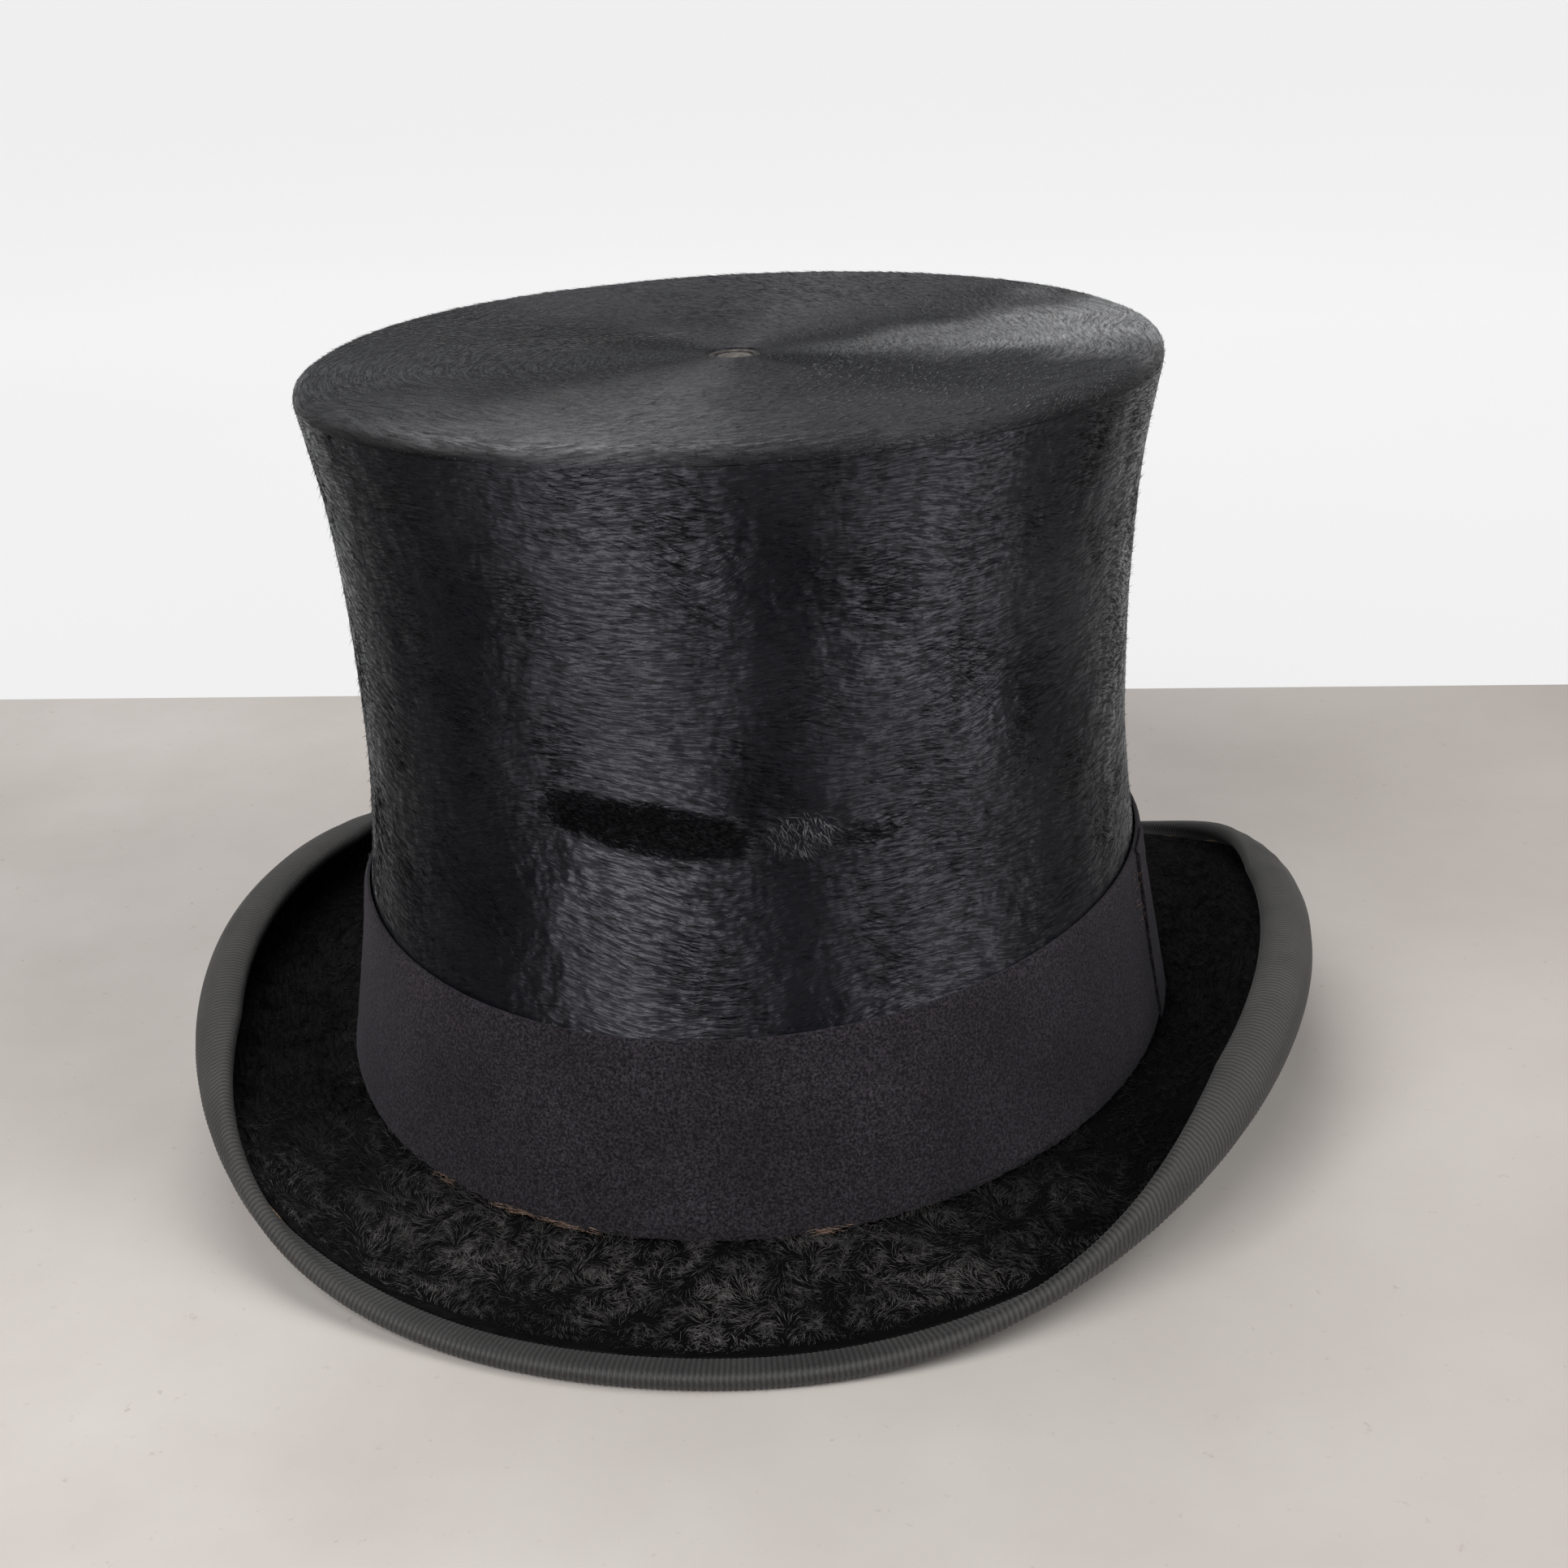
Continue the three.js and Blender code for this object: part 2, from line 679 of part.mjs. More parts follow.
function makeVentEyelet() {
  const inner = eyeletBarrelRadius - eyeletWall;
  const low = ventTop - eyeletLength;
  const outline = [
    [inner, low],
    [eyeletBarrelRadius, low],
    [eyeletBarrelRadius, ventTop],
    [eyeletFlangeRadius, ventTop],
    [eyeletFlangeRadius, ventTop + eyeletFlangeThickness],
    [inner, ventTop + eyeletFlangeThickness],
  ];
  return turned('vent_eyelet', outline, 0x4b4944, 0.5, 0.6);
}

function makeVentGauze() {
  const radius = eyeletBarrelRadius - eyeletWall - clearance;
  const geometry = new THREE.CylinderGeometry(radius, radius, gauzeThickness, ventSteps);
  geometry.rotateX(Math.PI / 2);
  geometry.translate(0, 0, ventTop);
  return piece('vent_gauze', geometry, 0x6b655c, 0.8);
}

function makeVentWasher() {
  const high = ventTop - clearance - gossThickness - clearance - liningThickness - 2 * clearance;
  const outline = [
    [eyeletBarrelRadius + clearance, high - washerThickness],
    [washerRadius, high - washerThickness],
    [washerRadius, high],
    [eyeletBarrelRadius + clearance, high],
  ];
  return turned('vent_washer', outline, 0x8d8a80, 0.45, 0.8);
}

// ---- Assembly -----------------------------------------------------------------------------

const hat = new THREE.Group();
hat.add(
  makeCrownSideShell(),
  makeCrownTipShell(),
  makeBrimShell(),
  makeBrimJointCollar(),
  makeSidePlush(),
  makeTipPlush(),
  makeBrimPlush(),
  makeUnderbrimCloth(),
  makeBrimBinding(),
  makeHatBand(),
  makeHatBandEnd(),
  makeSweatband(),
  makeSweatbandReed(),
  ...makeBow(),
  makeSideLining(),
  makeTipLining(),
  makeVentEyelet(),
  makeVentGauze(),
  makeVentWasher(),
);

export default hat;
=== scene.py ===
"""Silk-plush top hat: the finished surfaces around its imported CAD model.

Metres, +Z up, the front of the hat towards -Y, and angles run from the front towards +X. Sizes come
from the CAD frame; the named numbers are the thicknesses, shape laws and details that the frame's
boxes can't give.
"""

import math

import bpy
import numpy as np
from mathutils import Matrix, Vector


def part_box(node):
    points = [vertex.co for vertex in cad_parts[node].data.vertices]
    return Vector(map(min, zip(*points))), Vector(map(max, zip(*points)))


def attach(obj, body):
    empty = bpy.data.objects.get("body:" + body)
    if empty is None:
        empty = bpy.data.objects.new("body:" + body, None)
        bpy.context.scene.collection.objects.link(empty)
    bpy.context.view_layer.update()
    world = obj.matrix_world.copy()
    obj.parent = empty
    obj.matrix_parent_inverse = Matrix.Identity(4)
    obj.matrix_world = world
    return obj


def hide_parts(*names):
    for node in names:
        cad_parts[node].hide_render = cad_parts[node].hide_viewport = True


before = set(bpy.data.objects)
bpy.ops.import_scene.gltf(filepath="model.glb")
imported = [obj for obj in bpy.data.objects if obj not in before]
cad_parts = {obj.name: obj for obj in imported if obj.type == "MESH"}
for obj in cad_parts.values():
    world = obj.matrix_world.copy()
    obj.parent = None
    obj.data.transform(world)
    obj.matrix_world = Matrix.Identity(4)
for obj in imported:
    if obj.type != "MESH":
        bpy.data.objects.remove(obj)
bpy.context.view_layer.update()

MM = 0.001
QUARTER = math.pi / 2
FULL_TURN = 2 * math.pi

# ---- Layers, from the outside in -----------------------------------------------------------

CLEARANCE = 0.3 * MM
PLUSH = 1.0 * MM
GOSS = 1.4 * MM
LINING = 0.6 * MM
COLLAR = 0.9 * MM
SWEATBAND = 1.3 * MM
BRIM_CORE = 1.6 * MM
BRIM_PLUSH = 1.2 * MM
RIBBON = 0.8 * MM
BAND = 1.2 * MM
BAND_END = 0.7 * MM
LINING_DEPTH = PLUSH + GOSS + 3 * CLEARANCE
BRIM_HOLE_DEPTH = PLUSH + GOSS + CLEARANCE
SWEATBAND_DEPTH = LINING_DEPTH + COLLAR + CLEARANCE
SKIN_OFFSET = BRIM_CORE / 2 + CLEARANCE
BRIM_PLUSH_TOP = SKIN_OFFSET + BRIM_PLUSH
BINDING_OFFSET = SKIN_OFFSET + RIBBON

# ---- Shape of the crown and brim -----------------------------------------------------------

CURL_RADIUS_FRONT = 3.4 * MM
CURL_RADIUS_SIDE = 4.7 * MM
RIBBON_UNDER = 14 * MM
RIBBON_OVER = 4 * MM
PLUSH_START = RIBBON_OVER + 3 * CLEARANCE
PLUSH_SETBACK = GOSS + CLEARANCE
EDGE_FLAT = 5 * MM
TIP_EDGE_RADIUS = 4 * MM
TIP_SAG = 2.5 * MM
BREAK_FRONT = 7.6 * MM
BREAK_SIDE = 10.9 * MM
BREAK_POWER = 1.7
CROWN_SQUARENESS = 2.03
BRIM_SQUARENESS = 2.08
WAIST_HALF_WIDTH = 81.7 * MM
WAIST_HEIGHT = 82 * MM
FOOT_HALF_WIDTH = 91.3 * MM
TIP_FLARE_POWER = 2.35
FOOT_FLARE_POWER = 1.52
FLARE_BLEND = 24 * MM
LIFT_POWER = 2.1
CURL_POWER = 2.2
CURL_FULLNESS = 1.15
CURL_FORWARD_BIAS = 0.35
REST_HALF_ANGLE = math.radians(10)
SLOPE_AT_CURL = math.radians(35)
SLOPE_AT_CROWN_FRONT = math.radians(-4)
SLOPE_AT_CROWN_SIDE = math.radians(10)
BAND_HEIGHT_FRONT = 38.8 * MM
BAND_HEIGHT_SIDE = 39.7 * MM
BAND_END_FROM = math.radians(84)
BAND_END_TO = math.radians(92)
SWEATBAND_HEIGHT = 46 * MM
LINING_START = 14 * MM  # above the brim's break, hidden behind the sweatband

tip_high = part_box("tip_plush")[1]
binding_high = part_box("brim_binding")[1]
vent_low, vent_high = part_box("vent_eyelet")
CROWN_HEIGHT = tip_high.z
TIP_HALF_WIDTH = tip_high.x
OVAL_EXCESS = tip_high.y - tip_high.x
CURL_HALF_WIDTH = binding_high.x - CURL_RADIUS_SIDE - BINDING_OFFSET
CURL_HALF_LENGTH = binding_high.y - BINDING_OFFSET
SIDE_LIFT = binding_high.z - 2 * (BINDING_OFFSET + CURL_RADIUS_SIDE)
TIP_EDGE_FOOT = CROWN_HEIGHT - TIP_EDGE_RADIUS
EDGE_STEPS = 7201
SMALL_ANGLE = 0.01
SMALL_SHARE = 0.001


def joined(*parts):
    """Points from their x, y and z, which are spread over each other's rows and columns."""
    return np.stack(np.broadcast_arrays(*parts), axis=-1)


def mix(first, second, share):
    return first + (second - first) * share


def smooth_step(low, high, value):
    share = np.clip((value - low) / (high - low), 0, 1)
    return share * share * (3 - 2 * share)


def unit(vectors):
    return vectors / np.maximum(np.linalg.norm(vectors, axis=-1), 1e-12)[..., None]


def oval(half_width, half_length, squareness, angle):
    """Point of an oval: angle 0 is the front and a quarter turn is the +X side."""
    power = 2 / squareness
    across = np.sin(angle)
    along = np.cos(angle)
    x = half_width * np.sign(across) * np.abs(across) ** power
    y = -half_length * np.sign(along) * np.abs(along) ** power
    return x, y


def brim_break(angle):
    """Height of the brim's middle surface where it meets the crown."""
    return mix(BREAK_FRONT, BREAK_SIDE, np.abs(np.sin(angle)) ** BREAK_POWER)


def crown_point(angle, height, depth):
    """Point at a depth inside the crown's outer surface."""
    above = np.maximum(0, (height - WAIST_HEIGHT) / (CROWN_HEIGHT - WAIST_HEIGHT))
    below = np.maximum(0, (WAIST_HEIGHT - height) / (WAIST_HEIGHT - BREAK_FRONT))
    half = WAIST_HALF_WIDTH - depth
    half = half + (TIP_HALF_WIDTH - WAIST_HALF_WIDTH) * above**TIP_FLARE_POWER
    half = half + (FOOT_HALF_WIDTH - WAIST_HALF_WIDTH) * below**FOOT_FLARE_POWER
    return joined(*oval(half, half + OVAL_EXCESS, CROWN_SQUARENESS, angle), height)


def side_surface(angle, height, depth):
    """The crown's outside, widened under the tip so that it runs on into the rounded edge."""
    step = TIP_HALF_WIDTH - crown_point(QUARTER, TIP_EDGE_FOOT, 0.0)[0]
    widening = step * smooth_step(TIP_EDGE_FOOT - FLARE_BLEND, TIP_EDGE_FOOT, height)
    return crown_point(angle, height, depth - widening)


def tip_point(angle, share, depth):
    """Point of the tip at a share of the half width inside its rounded edge."""
    half = (TIP_HALF_WIDTH - TIP_EDGE_RADIUS) * share
    x, y = oval(half, half + OVAL_EXCESS * np.minimum(1, share), CROWN_SQUARENESS, angle)
    return joined(x, y, CROWN_HEIGHT - depth - TIP_SAG * (1 - share * share))


def tip_edge_point(angle, turn, depth):
    """Point on the rounded edge between side and tip, from 0 at the side to a quarter turn."""
    radius = TIP_EDGE_RADIUS - depth
    half = TIP_HALF_WIDTH - TIP_EDGE_RADIUS + radius * np.cos(turn)
    x, y = oval(half, half + OVAL_EXCESS, CROWN_SQUARENESS, angle)
    return joined(x, y, TIP_EDGE_FOOT + radius * np.sin(turn))


def sideways_past_rest(angle, power):
    """0 where the brim lies flat at the front and back, 1 at the sides."""
    flat = math.sin(REST_HALF_ANGLE)
    return (np.maximum(0, np.abs(np.sin(angle)) - flat) / (1 - flat)) ** power


def slope_at_crown(angle):
    return mix(SLOPE_AT_CROWN_FRONT, SLOPE_AT_CROWN_SIDE, sideways_past_rest(angle, CURL_POWER))


def brim_arc(angle):
    """Radius, slope, length and centre height of the curled edge at an angle."""
    curl = sideways_past_rest(angle, CURL_POWER)
    radius = mix(CURL_RADIUS_FRONT, CURL_RADIUS_SIDE, curl)
    fullness = CURL_FULLNESS + CURL_FORWARD_BIAS * np.cos(angle)
    length = radius * math.pi * np.minimum(1, fullness * curl)
    centre = BINDING_OFFSET + radius + SIDE_LIFT * sideways_past_rest(angle, LIFT_POWER)
    return radius, SLOPE_AT_CURL * curl, length, centre


def brim_edge(angle):
    """The edge's oval and its direction outwards."""
    x, y = oval(CURL_HALF_WIDTH, CURL_HALF_LENGTH, BRIM_SQUARENESS, angle)
    ahead = oval(CURL_HALF_WIDTH, CURL_HALF_LENGTH, BRIM_SQUARENESS, angle + SMALL_ANGLE)
    behind = oval(CURL_HALF_WIDTH, CURL_HALF_LENGTH, BRIM_SQUARENESS, angle - SMALL_ANGLE)
    along_x = ahead[0] - behind[0]
    along_y = ahead[1] - behind[1]
    size = np.hypot(along_x, along_y)
    return x, y, along_y / size, -along_x / size


def brim_plate(angle):
    """The plate between crown and curl: its two ends, its length in plan and its two rises."""
    radius, slope, _, centre = brim_arc(angle)
    x, y, out_x, out_y = brim_edge(angle)
    reach = radius * np.sin(slope) - EDGE_FLAT * np.cos(slope)
    rim = (x + out_x * reach, y + out_y * reach)
    rim_height = centre - radius * np.cos(slope) - EDGE_FLAT * np.sin(slope)
    foot = crown_point(angle, brim_break(angle), BRIM_HOLE_DEPTH)
    length = np.hypot(rim[0] - foot[..., 0], rim[1] - foot[..., 1])
    rises = np.tan(slope_at_crown(angle)) * length, np.tan(slope) * length
    return foot, rim, rim_height, length, rises


def brim_length(angle):
    return brim_arc(angle)[2] + EDGE_FLAT + brim_plate(angle)[3]


def plate_rise(start, end, rises, share):
    """Height along the plate, which leaves both ends at their own slopes."""
    square = share**2
    cube = share**3
    heights = (2 * cube - 3 * square + 1) * start + (3 * square - 2 * cube) * end
    return heights + (cube - 2 * square + share) * rises[0] + (cube - square) * rises[1]


def brim_frame(angle, distance):
    """Middle surface of the brim at distances from its edge: point, direction outwards, normal."""
    angle, distance = np.broadcast_arrays(np.asarray(angle, float), distance)
    radius, slope, arc, centre = brim_arc(angle)
    x, y, out_x, out_y = brim_edge(angle)
    back = np.maximum(0, distance - arc)
    turn = slope + np.maximum(0, arc - distance) / radius
    reach = radius * np.sin(turn) - back * np.cos(slope)
    height = centre - radius * np.cos(turn) - back * np.sin(slope)
    foot, rim, rim_height, length, rises = brim_plate(angle)
    share = np.clip(1 - (distance - arc - EDGE_FLAT) / length, 0, 1)
    plate_x = (rim[0] - foot[..., 0]) / length
    plate_y = (rim[1] - foot[..., 1]) / length
    plate_height = plate_rise(foot[..., 2], rim_height, rises, share)
    climb = plate_rise(foot[..., 2], rim_height, rises, share + SMALL_SHARE) - plate_height
    on_plate = distance >= arc + EDGE_FLAT
    turn = np.where(on_plate, np.arctan2(climb / SMALL_SHARE, length), turn)
    x = np.where(on_plate, foot[..., 0] + plate_x * length * share, x + out_x * reach)
    y = np.where(on_plate, foot[..., 1] + plate_y * length * share, y + out_y * reach)
    way_x = np.where(on_plate, plate_x, out_x)
    way_y = np.where(on_plate, plate_y, out_y)
    outwards = joined(way_x * np.cos(turn), way_y * np.cos(turn), np.sin(turn))
    normal = joined(-way_x * np.sin(turn), -way_y * np.sin(turn), np.cos(turn))
    return joined(x, y, np.where(on_plate, plate_height, height)), outwards, normal


def brim_point(angle, distance, offset):
    point, _, normal = brim_frame(angle, distance)
    return point + normal * np.asarray(offset)[..., None]


def brim_edge_point(angle, radius, turn):
    """Point on the rounded end of the brim; turn runs from below the edge to above it."""
    point, outwards, normal = brim_frame(angle, 0.0)
    beyond = (radius * np.cos(turn))[..., None]
    above = (radius * np.sin(turn))[..., None]
    return point + outwards * beyond + normal * above


def standing_height(angle, outer_depth, inner_depth, offset):
    """Lowest height at which a layer of the crown stands clear of an offset above the brim."""
    climb = np.tan(slope_at_crown(angle))
    outer_rise = climb * (BRIM_HOLE_DEPTH - outer_depth)
    inner_rise = climb * (BRIM_HOLE_DEPTH - inner_depth)
    return brim_break(angle) + offset + 1.5 * CLEARANCE + np.maximum(outer_rise, inner_rise)


# ---- Mesh helpers --------------------------------------------------------------------------

SKEW_WAY = (0.3, 0.2, 0.93)  # a direction that hardly any fibre lies along
BEND_WIDTH = 0.7  # a fibre's width at its bend, as a share of its root's


def lumps(points, size, seed, waves=24):
    """Smooth unevenness, mostly within -1 and 1, with lumps of about one size."""
    random = np.random.default_rng(seed)
    directions = unit(random.normal(size=(waves, 3)))
    directions *= (math.pi / size) * random.uniform(0.6, 1.4, (waves, 1))
    phases = random.uniform(0, FULL_TURN, waves)
    total = np.zeros(points.shape[:-1])
    for direction, phase in zip(directions, phases):
        total += np.sin(points @ direction + phase)
    return total / math.sqrt(waves)


def mesh_object(name, points, faces, sharp=40):
    """Smooth-shaded object from an array of points and a list of face arrays, one per face size."""
    mesh = bpy.data.meshes.new(name)
    mesh.vertices.add(len(points))
    mesh.vertices.foreach_set("co", np.asarray(points, np.float32).ravel())
    corners = np.concatenate([f.ravel() for f in faces])
    sizes = np.concatenate([np.full(len(f), f.shape[1]) for f in faces])
    mesh.loops.add(len(corners))
    mesh.loops.foreach_set("vertex_index", corners.astype(np.int32))
    mesh.polygons.add(len(sizes))
    starts = np.concatenate([[0], np.cumsum(sizes)[:-1]])
    mesh.polygons.foreach_set("loop_start", starts.astype(np.int32))
    mesh.polygons.foreach_set("use_smooth", np.ones(len(sizes), bool))
    mesh.update(calc_edges=True)
    mesh.validate()
    if sharp:
        mesh.set_sharp_from_angle(angle=math.radians(sharp))
    obj = bpy.data.objects.new(name, mesh)
    bpy.context.scene.collection.objects.link(obj)
    return obj


def point_values(obj, **layers):
    """Named values from 0 to 1 on the points of a mesh, for its material to read."""
    for name, values in layers.items():
        layer = obj.data.attributes.new(name, "FLOAT", "POINT")
        layer.data.foreach_set("value", np.asarray(values, np.float32).ravel())


def cloth_map(obj, points, rows):
    """A UV map in metres: u round the hat and v along the outline."""
    reaches = []
    for axis in (0, 1):
        steps = np.linalg.norm(np.roll(points, -1, axis=axis) - points, axis=-1)
        reaches.append(np.concatenate([[0], np.cumsum(steps.mean(axis=1 - axis))]))
    u, v = reaches
    i, k = np.meshgrid(np.arange(rows), np.arange(points.shape[1]), indexing="ij")
    around = np.stack([u[i], u[i + 1], u[i + 1], u[i]], axis=-1)
    up = np.stack([v[k], v[k], v[k + 1], v[k + 1]], axis=-1)
    values = np.zeros((len(obj.data.loops), 2))
    values[: around.size] = np.stack([around, up], axis=-1).reshape(-1, 2)
    layer = obj.data.uv_layers.new(name="Cloth")
    layer.uv.foreach_set("vector", values.astype(np.float32).ravel())


def ring(name, points, wrapped=True, sharp=40):
    """Closed tube of section outlines: points[angle, corner]. An open one gets flat ends."""
    turns, corners = points.shape[:2]
    rows = turns if wrapped else turns - 1
    index = np.arange(turns * corners).reshape(turns, corners)
    near = index[:rows]
    far = np.roll(index, -1, axis=0)[:rows]
    quads = np.stack([near, far, np.roll(far, -1, axis=1), np.roll(near, -1, axis=1)], axis=-1)
    faces = [quads.reshape(-1, 4)]
    if not wrapped:
        faces += [index[:1], index[-1:, ::-1]]
    obj = mesh_object(name, points.reshape(-1, 3), faces, sharp)
    cloth_map(obj, points, rows)
    return obj


def row(first, last, count):
    """Even steps, laid out in one row."""
    return np.linspace(first, last, count)[None, :]


def turns_round(count):
    """Angles all round, starting at the back, where the seams are."""
    return np.linspace(-math.pi, math.pi, count, endpoint=False)[:, None]


def edge_walk():
    """Angles all round, and the distance along the brim's edge at each of them."""
    fine = np.linspace(-math.pi, math.pi, EDGE_STEPS)
    x, y = oval(CURL_HALF_WIDTH, CURL_HALF_LENGTH, BRIM_SQUARENESS, fine)
    return fine, np.concatenate([[0], np.cumsum(np.hypot(np.diff(x), np.diff(y)))])


def spikes(name, roots, tips, width, bends=None, **layers):
    """Closed tapered fibres with three sides, from roots to tips, with a bend in the middle.

    The layers are values for the material, one for each fibre.
    """
    along = unit(tips - roots)
    side = unit(np.cross(along, SKEW_WAY))
    over = np.cross(side, along)
    rings = []
    for place, share in [(roots, 1.0)] if bends is None else [(roots, 1.0), (bends, BEND_WIDTH)]:
        for k in range(3):
            turn = FULL_TURN * k / 3
            spoke = side * math.cos(turn) + over * math.sin(turn)
            rings.append(place + spoke * (width * share)[:, None])
    points = np.stack([*rings, tips], axis=1)
    corners = points.shape[1]
    base = np.arange(len(roots))[:, None] * corners
    top = corners - 1
    tris = [[top - 3 + k, top - 3 + (k + 1) % 3, top] for k in range(3)] + [[2, 1, 0]]
    faces = [np.concatenate([base + np.array(t) for t in tris])]
    if bends is not None:
        quads = [[k, (k + 1) % 3, 3 + (k + 1) % 3, 3 + k] for k in range(3)]
        faces.insert(0, np.concatenate([base + np.array(q) for q in quads]))
    obj = mesh_object(name, points.reshape(-1, 3), faces, sharp=0)
    point_values(obj, **{layer: np.repeat(values, corners) for layer, values in layers.items()})
    return obj


def laid(first_way, second_way, turn):
    """Directions turned from the first way towards the second."""
    return first_way * np.cos(turn)[:, None] + second_way * np.sin(turn)[:, None]


def level_ways(points):
    """Unit vectors out from the hat's axis and round it."""
    outward = unit(points * np.array([1, 1, 0]))
    return outward, np.cross([0, 0, 1], outward)


def finish_piece(obj, material, slot, *nodes):
    """Gives a piece its material and body, and hides the CAD nodes that it stands for. The slot is
    not used.
    """
    obj.data.materials.append(material)
    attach(obj, "root")
    if nodes:
        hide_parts(*nodes)
    return obj


# ---- Material helpers ----------------------------------------------------------------------


class Recipe:
    """The nodes of a material or a world, with short calls for the kinds that are used here."""

    def __init__(self, owner, shader):
        owner.use_nodes = True
        self.owner = owner
        self.tree = owner.node_tree
        self.shader = self.tree.nodes[shader]

    def feed(self, socket, value):
        """Links an output to a socket, or sets the socket to a number, vector or colour."""
        if isinstance(value, bpy.types.NodeSocket):
            self.tree.links.new(value, socket)
        elif isinstance(value, tuple) and len(value) < len(socket.default_value):
            socket.default_value = (*value, 1)
        else:
            socket.default_value = value

    def node(self, kind, inputs=(), **settings):
        """A new node with its settings, and its inputs fed by name or number."""
        node = self.tree.nodes.new("ShaderNode" + kind)
        for name, value in settings.items():
            setattr(node, name, value)
        for name, value in dict(inputs).items():
            self.feed(node.inputs[name], value)
        return node

    def set(self, **sockets):
        """Feeds the shader's own sockets, with an underscore for each space in their names."""
        for name, value in sockets.items():
            self.feed(self.shader.inputs[name.replace("_", " ")], value)

    def place(self):
        return self.node("NewGeometry").outputs["Position"]

    def cloth(self):
        return self.node("UVMap", uv_map="Cloth").outputs["UV"]

    def attribute(self, name):
        return self.node("Attribute", attribute_name=name).outputs["Fac"]

    def stretched(self, vector, scale):
        return self.node("Mapping", {"Vector": vector, "Scale": scale}).outputs["Vector"]

    def split(self, vector):
        return self.node("SeparateXYZ", {"Vector": vector}).outputs

    def noise(self, vector, scale, detail=3.0, roughness=0.55):
        inputs = {"Vector": vector, "Scale": scale, "Detail": detail, "Roughness": roughness}
        return self.node("TexNoise", inputs).outputs["Fac"]

    def math(self, operation, first, second):
        return self.node("Math", {0: first, 1: second}, operation=operation).outputs["Value"]

    def ramp(self, value, *stops):
        """Tones between two stops: (place, grey) or (place, (r, g, b))."""
        node = self.node("ValToRGB", {"Fac": value})
        for element, (place, tone) in zip(node.color_ramp.elements, stops):
            element.position = place
            rgb = tone if isinstance(tone, tuple) else (tone,) * 3
            element.color = (*rgb, 1)
        return node.outputs["Color"]

    def blend(self, share, first, second, kind="MIX"):
        inputs = {"Factor_Float": share, "A_Color": first, "B_Color": second}
        node = self.node("Mix", data_type="RGBA", blend_type=kind)
        for socket in node.inputs:
            if socket.identifier in inputs:
                self.feed(socket, inputs[socket.identifier])
        return next(s for s in node.outputs if s.identifier == "Result_Color")

    def bump(self, height, distance, strength, under=None):
        inputs = {"Height": height, "Distance": distance, "Strength": strength}
        if under is not None:
            inputs["Normal"] = under
        return self.node("Bump", inputs).outputs["Normal"]

    def leaning_normal(self, rise):
        """The surface's normal leant upwards, as a nap that is brushed down catches light."""
        up = self.node("CombineXYZ", {"Z": rise}).outputs["Vector"]
        level = self.node("NewGeometry").outputs["Normal"]
        leaning = self.node("VectorMath", {0: level, 1: up}, operation="ADD").outputs["Vector"]
        return self.node("VectorMath", {0: leaning}, operation="NORMALIZE").outputs["Vector"]

    def combed(self, length, width):
        """Streaks along the cloth that wander up and down a little."""
        cloth = self.split(self.cloth())
        drift = self.math("MULTIPLY", self.noise(self.place(), 24, 0.5), COMB_WANDER)
        along = self.math("MULTIPLY", cloth["X"], width / length)
        across = self.math("ADD", cloth["Y"], drift)
        streaks = self.node("CombineXYZ", {"X": along, "Y": across}).outputs["Vector"]
        return self.noise(streaks, 1 / width, 4.0, 0.65)


def new_material(name, **sockets):
    recipe = Recipe(bpy.data.materials.new(name), "Principled BSDF")
    recipe.set(**sockets)
    return recipe


# ---- Materials -----------------------------------------------------------------------------

# Black painted in as shade, where the nap turns away from the light.
PAINTED_SHADE_BLACK = (0.0006, 0.0006, 0.0008)
FADED_BLACK = (0.10, 0.10, 0.104)
COMB_WANDER = 24 * MM
NAP_LEAN = 0.57  # the tangent of the angle by which the nap leans the surface's normal upwards
RUBBED_LEAN = 1.3


def plush_material(
    name, dark, light, nap=0.95, rough=0.42, gloss=0.33, worn=FADED_BLACK, swirl=0.3 * MM
):
    """Silk plush: fibres brushed round the hat, so that its gloss runs up and down.

    Where the nap has been pushed the wrong way its normal leans further up and its colour is painted
    black as painted shade; where the painted-shade attribute is 1 the colour is painted black as
    shade, and where the attribute for wear and painted light is 1 it fades lighter, which on the tip
    is painted sheen.
    """
    recipe = new_material(
        name,
        Anisotropic=nap,
        Anisotropic_Rotation=0.25,
        Specular_IOR_Level=gloss,
        Specular_Tint=(0.91, 0.90, 1.0),
    )
    rubbed = recipe.attribute("rubbed")
    strands = recipe.combed(2.6 * MM, 0.3 * MM)
    sweeps = recipe.combed(6 * MM, 0.85 * MM)
    both = recipe.math("MULTIPLY", recipe.math("ADD", strands, sweeps), 0.5)
    tone = recipe.ramp(both, (0.38, dark), (0.62, light))
    # Painted lighter where the attribute for wear and painted light is 1; on the tip this is painted
    # sheen.
    faded = recipe.ramp(both, (0.38, light), (0.62, worn))
    tone = recipe.blend(recipe.attribute("worn"), tone, faded)
    # Painted shade: the colour is blended to black where the painted-shade attribute is 1.
    tone = recipe.blend(recipe.attribute("sheltered"), tone, PAINTED_SHADE_BLACK)
    rise = recipe.math("ADD", NAP_LEAN, recipe.math("MULTIPLY", rubbed, RUBBED_LEAN))
    swirls = recipe.noise(recipe.place(), 90, 3.0, 0.6)
    normal = recipe.bump(swirls, swirl, 0.5, recipe.leaning_normal(rise))
    normal = recipe.bump(strands, 0.2 * MM, 0.5, normal)
    # Where the nap is pushed the wrong way the colour is painted black: painted shade for its lost
    # sheen.
    recipe.set(
        Base_Color=recipe.blend(rubbed, tone, PAINTED_SHADE_BLACK),
        Normal=recipe.bump(sweeps, 0.4 * MM, 0.25, normal),
        Roughness=recipe.ramp(both, (0.45, min(1.0, rough + 0.24)), (0.54, rough - 0.16)),
        Tangent=recipe.node("Tangent", direction_type="RADIAL", axis="Z").outputs["Tangent"],
    )
    return recipe.owner


